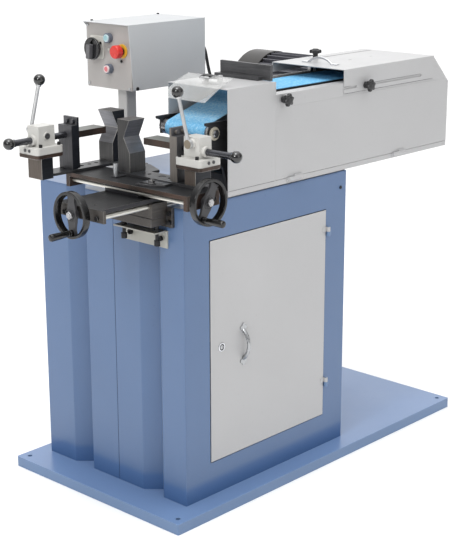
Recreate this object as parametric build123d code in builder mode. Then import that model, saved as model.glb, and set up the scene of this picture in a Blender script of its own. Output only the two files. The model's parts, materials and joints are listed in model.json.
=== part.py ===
from build123d import *
import math
import os

os.makedirs("parts", exist_ok=True)

# ---------------------------------------------------------------------------
# Driving dimensions, millimetres. +Z up, -X is the operator's end,
# -Y is the side with the cabinet door. Origin: centre of the floor bolts, on the floor.
# ---------------------------------------------------------------------------
# floor base
BASE_L, BASE_W, BASE_H, BASE_T = 1310.0, 700.0, 32.0, 6.0
FLOOR_BOLT_X, FLOOR_BOLT_Y, FLOOR_BOLT_R = 627.0, 322.0, 7.0

# cabinet
CX0, CX1, CY0, CY1 = -557.0, 143.0, -286.0, 303.0
CZ0, CZ1, CT = 32.0, 895.0, 3.0
GROOVES = ((-195.0, -154.0, -112.0), (105.0, 147.0, 187.0))
GROOVE_DEPTH = 38.0
SEAM_Y = -8.0
DOOR_X0, DOOR_X1, DOOR_Z0, DOOR_Z1 = -455.0, 47.0, 135.0, 788.0
DOOR_GAP = 2.0
HINGE_X, HINGE_Y = 53.0, -293.0
HINGE_Z = (242.0, 722.0)
LOCK_X, LOCK_Z = -412.0, 473.0
HANDLE_X, HANDLE_Z0, HANDLE_Z1, HANDLE_OUT = -321.0, 409.0, 510.0, 22.0

# grinding head
HX0, HX1, HY0, HY1 = -383.0, 667.0, -288.0, -19.0
HZ0, HZ_RAIL, HZ_FRONT, HZ_COVER = 899.0, 1159.0, 1195.0, 1199.0
STEP_X = -185.0
SLOPE_X, SLOPE_Z = 577.0, 1108.0
HS = 2.0
PLATE_T = 10.0
LIP_Z = 914.0
SIDE_Z1, RAIL_Z0, SKIRT_Z0 = 1119.6, 1120.0, 1127.0
FAR_X, FAR_Y0, FAR_Y1 = -190.0, -61.0, -59.0
COVER_X0 = 118.0
COVER_TRAVEL = 286.0
KNOB_Z = 1144.0
FRONT_KNOB_X, REAR_KNOB_X = -158.0, 221.0
TOP_KNOB_X, TOP_KNOB_Y = 277.0, -50.0

# belt and its pulleys
BELT_W, BELT_T, BELT_Y = 150.0, 1.5, -153.5
ROLLER_X, ROLLER_Z, ROLLER_R = -393.0, 1072.0, 21.0
KNEE_X, KNEE_R = -170.0, 20.0
WHEEL_X, WHEEL_Z, WHEEL_R = 405.0, 1060.1, 100.0
RUN_GAP = 0.4
AXLE_R = 8.0
SHAFT_R = 14.0
FIT = 0.05

# motor
MOTOR_R, FIN_R = 112.0, 126.0
MOTOR_Y0, FLANGE_Y, MOTOR_Y1, COWL_Y1 = -19.0, -6.5, 238.0, 322.0

# control box and post
BX0, BX1, BY0, BY1, BZ0, BZ1, BT = -341.0, -34.0, 130.0, 325.0, 1144.0, 1336.0, 2.0
POST_X, POST_Y, POST_W = -273.0, 227.0, 40.0
SWITCH_Y, SWITCH_Z = 276.0, 1259.5
START_Y, START_Z = 223.0, 1293.0
STOP_Y, STOP_Z = 223.0, 1203.0
ESTOP_Y, ESTOP_Z = 168.0, 1258.0

# cross slide, first axis (along X)
XS_Y, XS_Z = -142.0, 904.0
XROD_Y, XROD_R, ROD_R = (-221.0, -97.0), 7.0, 6.5
SCREW_R = 7.0
# cross slide, second axis (along Y)
YS_X, YS_Z = -585.0, 938.0
YROD_X = (-627.0, -543.0)
WHEEL_OD, RIM_W = 125.0, 19.0
GRIP_RADIUS = 48.0

# vise
PLATE_Z0, PLATE_Z1, EAR_Z1 = 960.6, 968.0, 965.6
PIVOT_X, PIVOT_Y, PIVOT_R = -538.0, -190.0, 10.0
SLOT_R, EAR_R = 84.0, 98.0
LOCK_A = 206.0
CLAMP_Z, CLAMP_B_Z = 1063.0, 1056.5
CLAMP_A = (-723.0, 85.0, CLAMP_Z)
CLAMP_B = (-538.0, -320.0, CLAMP_B_Z)
CLAMP_ROD_R = 9.0
LEVER_U, LEVER_V, LEVER_W = -7.0, 36.7, 22.0
VEE_DEPTH = 23.0

# motor lead
LEAD_D = 10.0
LEAD = [
    (-20.0, 218.0, 1260.0),
    (22.0, 218.0, 1260.0),
    (56.0, 218.0, 1232.0),
    (66.0, 217.0, 1182.0),
    (74.0, 212.0, 1138.0),
    (80.0, 194.0, 1102.0),
    (90.0, 160.0, 1072.0),
    (116.0, 122.0, 1056.0),
    (157.0, 100.0, 1062.0),
    (199.0, 100.0, 1062.0),
]

HERE = Location((0, 0, 0))


def block(x0, x1, y0, y1, z0, z1, at=HERE, mode=Mode.ADD):
    """Block between two corners."""
    with Locations(at * Location(((x0 + x1) / 2, (y0 + y1) / 2, (z0 + z1) / 2))):
        Box(x1 - x0, y1 - y0, z1 - z0, mode=mode)


TURN = {"x": (0, 90, 0), "y": (-90, 0, 0), "z": (0, 0, 0)}


def along(axis, a, b, c):
    """Point at a along the axis, b and c across it in X, Y, Z order."""
    return {"x": (a, b, c), "y": (b, a, c), "z": (b, c, a)}[axis]


def rod(axis, a0, a1, b, c, r, at=HERE, mode=Mode.ADD):
    """Round bar along an axis."""
    with Locations(at * Location(along(axis, (a0 + a1) / 2, b, c), TURN[axis])):
        Cylinder(r, a1 - a0, mode=mode)


def taper(axis, a0, a1, b, c, r0, r1, at=HERE, mode=Mode.ADD):
    """Cone frustum along an axis, r0 at a0 and r1 at a1."""
    with Locations(at * Location(along(axis, (a0 + a1) / 2, b, c), TURN[axis])):
        Cone(r0, r1, a1 - a0, mode=mode)


def hexbar(axis, a0, a1, b, c, flats, at=HERE, mode=Mode.ADD):
    """Hexagon bar along an axis."""
    spot = at * Location(along(axis, a0, b, c), TURN[axis])
    with BuildSketch(Plane(spot)) as outline:
        RegularPolygon(flats / 2, 6, major_radius=False)
    extrude(outline.sketch, amount=a1 - a0, mode=mode)


def plate_y(points, y0, y1, mode=Mode.ADD):
    """Plate with an outline in X and Z, from y0 to y1."""
    with BuildSketch(Plane((0, y1, 0), x_dir=(1, 0, 0), z_dir=(0, -1, 0))) as outline:
        with BuildLine():
            Polyline(*points, close=True)
        make_face()
    extrude(outline.sketch, amount=y1 - y0, mode=mode)


def plate_z(points, z0, z1, mode=Mode.ADD):
    """Plate with an outline in X and Y, from z0 to z1."""
    with BuildSketch(Plane.XY.offset(z0)) as outline:
        with BuildLine():
            Polyline(*points, close=True)
        make_face()
    extrude(outline.sketch, amount=z1 - z0, mode=mode)


def slot_y(x0, x1, z, r, y0, y1, mode=Mode.SUBTRACT):
    """Round-ended slot along X through a wall lying across Y."""
    block(x0 + r, x1 - r, y0, y1, z - r, z + r, mode=mode)
    rod("y", y0, y1, x0 + r, z, r, mode=mode)
    rod("y", y0, y1, x1 - r, z, r, mode=mode)


def slot_z(x0, x1, y, r, z0, z1, mode=Mode.SUBTRACT):
    """Round-ended slot along X through a plate lying flat."""
    block(x0 + r, x1 - r, y - r, y + r, z0, z1, mode=mode)
    rod("z", z0, z1, x0 + r, y, r, mode=mode)
    rod("z", z0, z1, x1 - r, y, r, mode=mode)


def star_knob(at, neck, neck_r, disc, stud):
    """Six-lobed clamping knob along local Z, its shoulder at 0."""
    rod("z", -stud, 0.5, 0, 0, 3.0, at=at)
    rod("z", 0, neck + 1, 0, 0, neck_r, at=at)
    rod("z", neck, neck + disc, 0, 0, 14.0, at=at)
    for k in range(6):
        a = math.radians(60 * k + 15)
        rod("z", neck, neck + disc, 13.0 * math.cos(a), 13.0 * math.sin(a), 6.0, at=at)
    taper("z", neck + disc, neck + disc + 3, 0, 0, 11.0, 8.0, at=at)


def handwheel(at):
    """Handwheel along local Z: rim, two-spoke web, hub, nut. Z = 0 is the hub's inner face."""
    ro, ri = WHEEL_OD / 2, WHEEL_OD / 2 - 12
    with BuildSketch(Plane(at) * Location((0, 0, 5))) as rim:
        Circle(ro)
        Circle(ri, mode=Mode.SUBTRACT)
    extrude(rim.sketch, amount=RIM_W)
    block(-17, 17, -ri - 3, ri + 3, 8, 15, at=at)
    rod("z", 0, 16, 0, 0, 15.0, at=at)
    rod("z", 5, 24, 0, -GRIP_RADIUS, 9.0, at=at)


def leadscrew(at, length):
    """Screw, thrust collar, washer and nut along local Z, through the hub and away from it."""
    rod("z", -length, 26.5, 0, 0, SCREW_R, at=at)
    rod("z", 16.05, 18, 0, 0, 12.0, at=at)
    hexbar("z", 18, 25, 0, 0, 19.0, at=at)


def grip(at):
    """Turning grip with its own waist, along local Z."""
    rod("z", 24.3, 30, 0, -GRIP_RADIUS, 8.0, at=at)
    taper("z", 30, 60, 0, -GRIP_RADIUS, 7.5, 9.5, at=at)
    taper("z", 60, 86, 0, -GRIP_RADIUS, 9.5, 10.0, at=at)
    taper("z", 86, 89, 0, -GRIP_RADIUS, 10.0, 7.0, at=at)


# ---------------------------------------------------------------------------
# Floor base: folded plate with corner pads and a cross rib
# ---------------------------------------------------------------------------
with BuildPart() as base_plate:
    block(-BASE_L / 2, BASE_L / 2, -BASE_W / 2, BASE_W / 2, 0, BASE_H)
    fillet(base_plate.edges().filter_by(Axis.Z), 4)
    block(
        -BASE_L / 2 + BASE_T,
        BASE_L / 2 - BASE_T,
        -BASE_W / 2 + BASE_T,
        BASE_W / 2 - BASE_T,
        0,
        BASE_H - BASE_T,
        mode=Mode.SUBTRACT,
    )
    for sx in (-1, 1):
        for sy in (-1, 1):
            with Locations((sx * 618, sy * 313, (BASE_H - BASE_T) / 2)):
                Box(64, 64, BASE_H - BASE_T)
    block(-3, 3, -BASE_W / 2 + BASE_T, BASE_W / 2 - BASE_T, 4, BASE_H - BASE_T)
    with Locations(
        *[(sx * FLOOR_BOLT_X, sy * FLOOR_BOLT_Y, BASE_H / 2) for sx in (-1, 1) for sy in (-1, 1)]
    ):
        Cylinder(FLOOR_BOLT_R, BASE_H + 2, mode=Mode.SUBTRACT)
base_plate.part.label = "base_plate"
export_step(base_plate.part, "parts/base_plate.step")

# ---------------------------------------------------------------------------
# Cabinet: grooved front, side panel with the door opening, back/left/top shell
# ---------------------------------------------------------------------------
front_line = [(CX0, CY0)]
for g0, g1, g2 in GROOVES:
    front_line += [(CX0, g0), (CX0 + GROOVE_DEPTH, g1), (CX0, g2)]
front_line += [(CX0, CY1)]

with BuildPart() as cabinet_front:
    inner = [(x + CT, y) for x, y in front_line]
    plate_z(front_line + inner[::-1], CZ0, CZ1 - CT)
    # joint line of the two front sheets
    block(CX0 - 1, CX0 + 1.4, SEAM_Y - 1.1, SEAM_Y + 1.1, CZ0 - 1, CZ1, mode=Mode.SUBTRACT)
cabinet_front.part.label = "cabinet_front"
export_step(cabinet_front.part, "parts/cabinet_front.step")

with BuildPart() as cabinet_right_panel:
    block(CX0 + CT, CX1, CY0, CY0 + CT, CZ0, CZ1 - CT)
    block(
        DOOR_X0 - DOOR_GAP,
        DOOR_X1 + DOOR_GAP,
        CY0 - 1,
        CY0 + CT + 1,
        DOOR_Z0 - DOOR_GAP,
        DOOR_Z1 + DOOR_GAP,
        mode=Mode.SUBTRACT,
    )
cabinet_right_panel.part.label = "cabinet_right_panel"
export_step(cabinet_right_panel.part, "parts/cabinet_right_panel.step")

with BuildPart() as cabinet_shell:
    plate_z(front_line + [(CX1, CY1), (CX1, CY0)], CZ1 - CT, CZ1)
    block(CX0 + CT, CX1, CY1 - CT, CY1, CZ0, CZ1 - CT)
    block(CX1 - CT, CX1, CY0 + CT, CY1, CZ0, CZ1 - CT)
cabinet_shell.part.label = "cabinet_shell"
export_step(cabinet_shell.part, "parts/cabinet_shell.step")

with BuildPart() as cabinet_door:
    block(DOOR_X0, DOOR_X1, CY0 - 1.5, CY0 + 0.5, DOOR_Z0, DOOR_Z1)
    block(DOOR_X0 + 12, DOOR_X1 - 12, CY0 + 0.5, CY0 + 16, DOOR_Z0 + 12, DOOR_Z1 - 12)
    block(
        DOOR_X0 + 14,
        DOOR_X1 - 14,
        CY0 + 0.5,
        CY0 + 17,
        DOOR_Z0 + 14,
        DOOR_Z1 - 14,
        mode=Mode.SUBTRACT,
    )
    block(DOOR_X0 + 10, DOOR_X0 + 16, CY0 + 0.5, CY0 + 17, LOCK_Z - 75, LOCK_Z + 20, mode=Mode.SUBTRACT)
    rod("y", CY0 - 3, CY0 + 3, LOCK_X, LOCK_Z, 9.0 + FIT, mode=Mode.SUBTRACT)
    for z in HINGE_Z:
        rod("z", z + 0.3, z + 14, HINGE_X, HINGE_Y, 6.0)
        block(HINGE_X - 20, HINGE_X, CY0 - 3.5, CY0 - 1.5, z + 0.3, z + 14)
        rod("z", z - 1, z + 15, HINGE_X, HINGE_Y, 3.0 + FIT, mode=Mode.SUBTRACT)
cabinet_door.part.label = "cabinet_door"
export_step(cabinet_door.part, "parts/cabinet_door.step")

with BuildPart() as door_handle:
    face = CY0 - 1.5
    with BuildLine() as bow:
        ThreePointArc(
            (HANDLE_X, face + 6, HANDLE_Z0 + 3),
            (HANDLE_X, face - HANDLE_OUT, (HANDLE_Z0 + HANDLE_Z1) / 2),
            (HANDLE_X, face + 6, HANDLE_Z1 - 3),
        )
    with BuildSketch(Plane(bow.line @ 0, z_dir=bow.line % 0)):
        Circle(5.5)
    sweep(path=bow.line)
    for z, s in ((HANDLE_Z0, -1), (HANDLE_Z1, 1)):
        for dx, dz in ((-7, 0), (7, 0), (0, 7 * s)):
            rod("y", face - 3, face, HANDLE_X + dx, z + dz, 6.0)
        block(HANDLE_X - 7, HANDLE_X + 7, face - 3, face, z - 6, z + 6)
    block(HANDLE_X - 30, HANDLE_X + 30, face, face + 40, HANDLE_Z0 - 40, HANDLE_Z1 + 40, mode=Mode.SUBTRACT)
door_handle.part.label = "door_handle"
export_step(door_handle.part, "parts/door_handle.step")

with BuildPart() as door_lock:
    rod("y", CY0 - 4.5, CY0 - 1.6, LOCK_X, LOCK_Z, 13.0)
    rod("y", CY0 - 4.5, CY0 + 14, LOCK_X, LOCK_Z, 9.0)
    block(LOCK_X - 8, LOCK_X + 8, CY0 + 9, CY0 + 12, LOCK_Z - 62, LOCK_Z + 10)
    block(LOCK_X - 1, LOCK_X + 1, CY0 - 6, CY0 - 3.3, LOCK_Z - 4, LOCK_Z + 4, mode=Mode.SUBTRACT)
door_lock.part.label = "door_lock"
export_step(door_lock.part, "parts/door_lock.step")

# ---------------------------------------------------------------------------
# Head: floor, main plate, front cover with side rail, rear hood
# ---------------------------------------------------------------------------


def slope_x(z, inset=0.0):
    """X of the sloped rear edge at a height, moved in by an inset."""
    k = (HX1 - SLOPE_X) / (HZ_COVER - SLOPE_Z)
    return SLOPE_X + (HZ_COVER - z) * k - inset * math.sqrt(1 + k * k)


with BuildPart() as head_tray:
    block(HX0, FAR_X, HY0 + HS, -44, HZ0, HZ0 + 3)
    block(FAR_X, HX1 - HS, HY0 + HS, HY1 - PLATE_T, HZ0, HZ0 + 3)
    block(HX0, HX1 - HS, HY0, HY0 + HS, HZ0, LIP_Z)
    block(HX0, CX1, HY0 + 8, HY0 + 38, CZ1, HZ0)
    block(FAR_X, CX1, HY1 - 42, HY1 - 12, CZ1, HZ0)
head_tray.part.label = "head_tray"
export_step(head_tray.part, "parts/head_tray.step")

with BuildPart() as head_main_plate:
    plate_y(
        [
            (FAR_X - 10, HZ0 + 3),
            (FAR_X, HZ0 + 3),
            (FAR_X, HZ0),
            (HX1 - HS, HZ0),
            (HX1 - HS, SLOPE_Z - 2),
            (slope_x(HZ_RAIL, 2.2), HZ_RAIL),
            (FAR_X - 10, HZ_RAIL),
        ],
        HY1 - PLATE_T,
        HY1,
    )
    # narrower front part: far wall and the web that carries it
    plate_y(
        [
            (HX0, 1104.5),
            (HX0, HZ_FRONT - HS),
            (FAR_X, HZ_FRONT - HS),
            (FAR_X, HZ0 + 3),
            (-233, HZ0 + 3),
            (-233, 1104.5),
        ],
        FAR_Y0,
        FAR_Y1,
    )
    block(FAR_X - 10, FAR_X, FAR_Y0, HY1 - PLATE_T, HZ0 + 3, HZ_RAIL)
    rod("y", HY1 - PLATE_T - 1, HY1 + 1, WHEEL_X, WHEEL_Z, 45, mode=Mode.SUBTRACT)
head_main_plate.part.label = "head_main_plate"
export_step(head_main_plate.part, "parts/head_main_plate.step")

with BuildPart() as front_cover:
    block(HX0, STEP_X, HY0, HY0 + HS, LIP_Z, HZ_FRONT)
    block(HX0, STEP_X, HY0, FAR_Y1, HZ_FRONT - HS, HZ_FRONT)
    plate_y(
        [
            (STEP_X, RAIL_Z0),
            (slope_x(RAIL_Z0), RAIL_Z0),
            (slope_x(HZ_RAIL), HZ_RAIL),
            (STEP_X, HZ_RAIL),
        ],
        HY0,
        HY0 + HS,
    )
    block(STEP_X, slope_x(HZ_RAIL, 4), HY0 + HS, HY0 + 38, HZ_RAIL - HS, HZ_RAIL)
    for x in (FRONT_KNOB_X, REAR_KNOB_X):
        rod("y", HY0, HY0 + 10, x, KNOB_Z, 7.0)
        rod("y", HY0 - 1, HY0 + 12, x, KNOB_Z, 3.0 + FIT, mode=Mode.SUBTRACT)
front_cover.part.label = "front_cover"
export_step(front_cover.part, "parts/front_cover.step")

with BuildPart() as rear_hood:
    hood_top = HZ_COVER - 3
    plate_y(
        [
            (300, hood_top),
            (slope_x(hood_top), hood_top),
            (HX1, SLOPE_Z),
            (HX1, HZ0),
            (HX1 - HS, HZ0),
            (HX1 - HS, SLOPE_Z - 1),
            (slope_x(hood_top - HS, HS), hood_top - HS),
            (300, hood_top - HS),
        ],
        HY0 + HS,
        HY1,
    )
    for y in (HY0, HY1 - HS):
        plate_y(
            [
                (300, HZ_RAIL),
                (300, hood_top),
                (slope_x(hood_top), hood_top),
                (slope_x(HZ_RAIL), HZ_RAIL),
            ],
            y,
            y + HS,
        )
rear_hood.part.label = "rear_hood"
export_step(rear_hood.part, "parts/rear_hood.step")

# drop-down side door of the head, hinged at its bottom edge
SD_AXIS_Y, SD_AXIS_Z = -293.5, 911.0
SD_HINGE_X, SD_HINGE_L = (-103.0, 402.0), 32.0
with BuildPart() as side_door:
    plate_y(
        [
            (STEP_X + 0.4, LIP_Z + 1),
            (HX1 - HS, LIP_Z + 1),
            (HX1 - HS, SLOPE_Z + 2),
            (slope_x(SIDE_Z1), SIDE_Z1),
            (STEP_X + 0.4, SIDE_Z1),
        ],
        HY0,
        HY0 + HS,
    )
    block(STEP_X + 12, 630, HY0 + HS, HY0 + 12, SIDE_Z1 - 4.5, SIDE_Z1 - 2.5)
    block(STEP_X + 12, 650, HY0 + HS, HY0 + 12, LIP_Z + 1, LIP_Z + 3)
    for x in SD_HINGE_X:
        rod("x", x + 0.4, x + SD_HINGE_L, SD_AXIS_Y, SD_AXIS_Z, 5.5)
        block(x + 0.4, x + SD_HINGE_L, HY0 - 2, HY0, LIP_Z + 1, LIP_Z + 8)
        block(x + 0.4, x + SD_HINGE_L, SD_AXIS_Y, HY0, LIP_Z + 1, LIP_Z + 2.4)
        rod("x", x - 1, x + SD_HINGE_L + 1, SD_AXIS_Y, SD_AXIS_Z, 2.5 + FIT, mode=Mode.SUBTRACT)
side_door.part.label = "side_door"
export_step(side_door.part, "parts/side_door.step")

# sliding top cover of the head
CY_NEAR, CY_FAR = HY0 - 2.5, HY1 + 10
with BuildPart() as sliding_cover:
    block(COVER_X0, SLOPE_X, CY_NEAR, CY_FAR, HZ_COVER - HS, HZ_COVER)
    block(COVER_X0, SLOPE_X, CY_NEAR, CY_NEAR + HS, SKIRT_Z0, HZ_COVER - HS)
    block(COVER_X0, SLOPE_X, CY_FAR - HS, CY_FAR, 1168, HZ_COVER - HS)
    slot_y(COVER_X0 - 20, 179, KNOB_Z, 3.6, CY_NEAR - 1, CY_NEAR + HS + 1)
    slot_y(REAR_KNOB_X - 4, REAR_KNOB_X + COVER_TRAVEL + 4, KNOB_Z, 3.6, CY_NEAR - 1, CY_NEAR + HS + 1)
    slot_z(TOP_KNOB_X - 4, TOP_KNOB_X + COVER_TRAVEL + 4, TOP_KNOB_Y, 3.6, HZ_COVER - 4, HZ_COVER + 1)
    # two small slots in the top
    for x, y in ((317, -156), (434, -149)):
        slot_z(x - 8, x + 8, y, 1.8, HZ_COVER - 4, HZ_COVER + 1)
sliding_cover.part.label = "sliding_cover"
export_step(sliding_cover.part, "parts/sliding_cover.step")

with BuildPart() as cover_handle:
    hx, hy0, hy1 = 188.0, -193.0, -91.0
    with BuildLine() as arch:
        ThreePointArc(
            (hx, hy0, HZ_COVER - 4), (hx, (hy0 + hy1) / 2, HZ_COVER + 17), (hx, hy1, HZ_COVER - 4)
        )
    with BuildSketch(Plane(arch.line @ 0, z_dir=arch.line % 0)):
        Circle(3.5)
    sweep(path=arch.line)
    block(hx - 8, hx + 8, hy0 - 16, hy0 + 6, HZ_COVER, HZ_COVER + 2.5)
    block(hx - 8, hx + 8, hy1 - 6, hy1 + 16, HZ_COVER, HZ_COVER + 2.5)
    block(hx - 20, hx + 20, hy0 - 30, hy1 + 30, HZ_COVER - 20, HZ_COVER, mode=Mode.SUBTRACT)
cover_handle.part.label = "cover_handle"
export_step(cover_handle.part, "parts/cover_handle.step")

with BuildPart() as front_knob:
    star_knob(Location((FRONT_KNOB_X, CY_NEAR - 0.6, KNOB_Z), (90, 0, 0)), 14, 10.5, 12, 11.5)
front_knob.part.label = "front_knob"
export_step(front_knob.part, "parts/front_knob.step")

with BuildPart() as rear_knob:
    star_knob(Location((REAR_KNOB_X, CY_NEAR - 0.6, KNOB_Z), (90, 0, 0)), 14, 10.5, 12, 11.5)
rear_knob.part.label = "rear_knob"
export_step(rear_knob.part, "parts/rear_knob.step")

with BuildPart() as top_knob:
    star_knob(Location((TOP_KNOB_X, TOP_KNOB_Y, HZ_COVER + 0.6)), 15, 8.5, 11, 17)
top_knob.part.label = "top_knob"
export_step(top_knob.part, "parts/top_knob.step")

# ---------------------------------------------------------------------------
# Belt, platen, contact roller, drive wheel
# ---------------------------------------------------------------------------
CIRCLES = [
    (ROLLER_X, ROLLER_Z, ROLLER_R),
    (KNEE_X, WHEEL_Z + WHEEL_R - KNEE_R, KNEE_R),
    (WHEEL_X, WHEEL_Z, WHEEL_R),
]


def tangent_normal(a, b):
    """Unit normal of the upper-left outer tangent line from circle a to circle b."""
    dx, dz = b[0] - a[0], b[1] - a[1]
    length = math.hypot(dx, dz)
    c = (a[2] - b[2]) / length
    s = math.sqrt(1 - c * c)
    ux, uz = dx / length, dz / length
    return (c * ux - s * uz, c * uz + s * ux)


def loop(extra):
    """Closed outline of tight lines and arcs around the three circles, grown by extra."""
    normals = [tangent_normal(CIRCLES[i], CIRCLES[(i + 1) % 3]) for i in range(3)]
    spans = []
    for i in range(3):
        x, z, r = CIRCLES[i]
        spans.append(((x, z), r + extra, normals[i - 1], normals[i]))
    return spans


def loop_length(extra):
    total = 0.0
    spans = loop(extra)
    for i in range(3):
        (x, z), r, n0, n1 = spans[i]
        turn = (math.atan2(n0[1], n0[0]) - math.atan2(n1[1], n1[0])) % (2 * math.pi)
        total += r * turn
        (x2, z2), r2, m0, m1 = spans[(i + 1) % 3]
        total += math.hypot(x2 + r2 * m0[0] - x - r * n1[0], z2 + r2 * m0[1] - z - r * n1[1])
    return total


def loop_face(extra, y1):
    """Sketch of the loop on the plane at y1."""
    with BuildSketch(Plane((0, y1, 0), x_dir=(1, 0, 0), z_dir=(0, -1, 0))) as outline:
        with BuildLine():
            spans = loop(extra)
            for i in range(3):
                (x, z), r, n0, n1 = spans[i]
                a0 = math.atan2(n0[1], n0[0])
                turn = (a0 - math.atan2(n1[1], n1[0])) % (2 * math.pi)
                am = a0 - turn / 2
                ThreePointArc(
                    (x + r * n0[0], z + r * n0[1]),
                    (x + r * math.cos(am), z + r * math.sin(am)),
                    (x + r * n1[0], z + r * n1[1]),
                )
                (x2, z2), r2, m0, m1 = spans[(i + 1) % 3]
                Line((x + r * n1[0], z + r * n1[1]), (x2 + r2 * m0[0], z2 + r2 * m0[1]))
        make_face()
    return outline.sketch


print("belt length", round(loop_length(RUN_GAP + BELT_T / 2), 1))

with BuildPart() as abrasive_belt:
    extrude(loop_face(RUN_GAP + BELT_T, BELT_Y + BELT_W / 2), amount=BELT_W)
    extrude(loop_face(RUN_GAP, BELT_Y + BELT_W / 2 + 1), amount=BELT_W + 2, mode=Mode.SUBTRACT)
abrasive_belt.part.label = "abrasive_belt"
export_step(abrasive_belt.part, "parts/abrasive_belt.step")

n_up = tangent_normal(CIRCLES[0], CIRCLES[1])
with BuildPart() as platen:
    kx, kz, kr = CIRCLES[1]
    px, pz = kx + kr * n_up[0], kz + kr * n_up[1]
    back = (n_up[1], -n_up[0])
    plate_y(
        [(310, kz + kr), (kx, kz + kr), (kx, kz + kr - 10), (310, kz + kr - 10)],
        BELT_Y - 77,
        HY1 - PLATE_T,
    )
    # bent front tongue
    plate_y(
        [
            (kx + 6, kz + kr),
            (kx, kz + kr),
            (kx + kr * math.sin(math.radians(-5)), kz + kr * math.cos(math.radians(5))),
            (kx + kr * math.sin(math.radians(-11)), kz + kr * math.cos(math.radians(11))),
            (px, pz),
            (px - 85 * back[0], pz - 85 * back[1]),
            (px - 85 * back[0] - 9 * n_up[0], pz - 85 * back[1] - 9 * n_up[1]),
            (px - 9 * n_up[0], pz - 9 * n_up[1]),
            (kx + 6, kz + kr - 10),
        ],
        BELT_Y - 77,
        -72,
    )
    # threaded post of the sliding cover's top knob
    rod("z", kz + kr - 2, 1196, TOP_KNOB_X, TOP_KNOB_Y, 7.0)
    rod("z", 1180, 1197, TOP_KNOB_X, TOP_KNOB_Y, 3.0 + FIT, mode=Mode.SUBTRACT)
    # bracket beside the post
    block(249, 264, -54, -42, kz + kr - 2, 1191)
platen.part.label = "platen"
export_step(platen.part, "parts/platen.step")

ARM_NEAR, ARM_FAR, ARM_T = -246.0, -58.0, 8.0
with BuildPart() as roller_arms:
    arm = [
        (-408, 1040),
        (-408, 1090),
        (-424, 1096),
        (-424, 1103),
        (-236, 1103),
        (-236, 902),
        (-336, 902),
        (-356, 968),
        (-400, 1015),
    ]
    far_arm = [
        (-408, 1053),
        (-408, 1090),
        (-424, 1096),
        (-424, 1103),
        (-236, 1103),
        (-236, 902),
        (-300, 902),
        (-300, 1012),
        (-345, 1053),
    ]
    plate_y(arm, ARM_NEAR, ARM_NEAR + ARM_T)
    plate_y(far_arm, ARM_FAR, ARM_FAR + ARM_T)
    block(-330, -242, ARM_NEAR + ARM_T, ARM_FAR, 902, 946)
    rod("y", ARM_NEAR - 1, ARM_FAR + ARM_T + 1, ROLLER_X, ROLLER_Z, AXLE_R + FIT, mode=Mode.SUBTRACT)
    # dead axle with its washers and nuts
    rod("y", ARM_NEAR - 10, ARM_FAR + ARM_T + 8, ROLLER_X, ROLLER_Z, AXLE_R)
    rod("y", ARM_NEAR - 3, ARM_NEAR - 0.05, ROLLER_X, ROLLER_Z, 18.5)
    rod("y", ARM_FAR + ARM_T + 0.05, ARM_FAR + ARM_T + 3, ROLLER_X, ROLLER_Z, 15.0)
    hexbar("y", ARM_NEAR - 8, ARM_NEAR - 3, ROLLER_X, ROLLER_Z, 21.0)
roller_arms.part.label = "roller_arms"
export_step(roller_arms.part, "parts/roller_arms.step")

with BuildPart() as contact_roller:
    rod("y", -236.5, -59.5, ROLLER_X, ROLLER_Z, ROLLER_R)
    rod("y", -238, -58, ROLLER_X, ROLLER_Z, AXLE_R + FIT, mode=Mode.SUBTRACT)
    for y0, y1 in ((-237.5, -233), (-63, -58.5)):
        with BuildSketch(Plane((0, y1, 0), x_dir=(1, 0, 0), z_dir=(0, -1, 0))) as ring:
            with Locations((ROLLER_X, ROLLER_Z)):
                Circle(17.5)
                Circle(12, mode=Mode.SUBTRACT)
        extrude(ring.sketch, amount=y1 - y0, mode=Mode.SUBTRACT)
contact_roller.part.label = "contact_roller"
export_step(contact_roller.part, "parts/contact_roller.step")

with BuildPart() as drive_wheel:
    rod("y", BELT_Y - 78, BELT_Y + 78, WHEEL_X, WHEEL_Z, WHEEL_R)
    rod("y", BELT_Y - 79, BELT_Y - 8, WHEEL_X, WHEEL_Z, WHEEL_R - 12, mode=Mode.SUBTRACT)
    rod("y", BELT_Y + 8, BELT_Y + 79, WHEEL_X, WHEEL_Z, WHEEL_R - 12, mode=Mode.SUBTRACT)
    rod("y", BELT_Y - 40, BELT_Y + 70, WHEEL_X, WHEEL_Z, 30)
    rod("y", BELT_Y - 90, BELT_Y + 90, WHEEL_X, WHEEL_Z, SHAFT_R, mode=Mode.SUBTRACT)
drive_wheel.part.label = "drive_wheel"
export_step(drive_wheel.part, "parts/drive_wheel.step")

with BuildPart() as motor_rotor:
    rod("y", BELT_Y - 42, 288, WHEEL_X, WHEEL_Z, SHAFT_R)
    rod("y", 22, 200, WHEEL_X, WHEEL_Z, 66)
    rod("y", 250, 255, WHEEL_X, WHEEL_Z, 96)
    rod("y", 255, 284, WHEEL_X, WHEEL_Z, 30)
    for k in range(6):
        spot = Location((WHEEL_X, 269, WHEEL_Z), (0, 60 * k, 0))
        block(28, 92, -15, 12, -2, 2, at=spot)
motor_rotor.part.label = "motor_rotor"
export_step(motor_rotor.part, "parts/motor_rotor.step")

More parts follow.
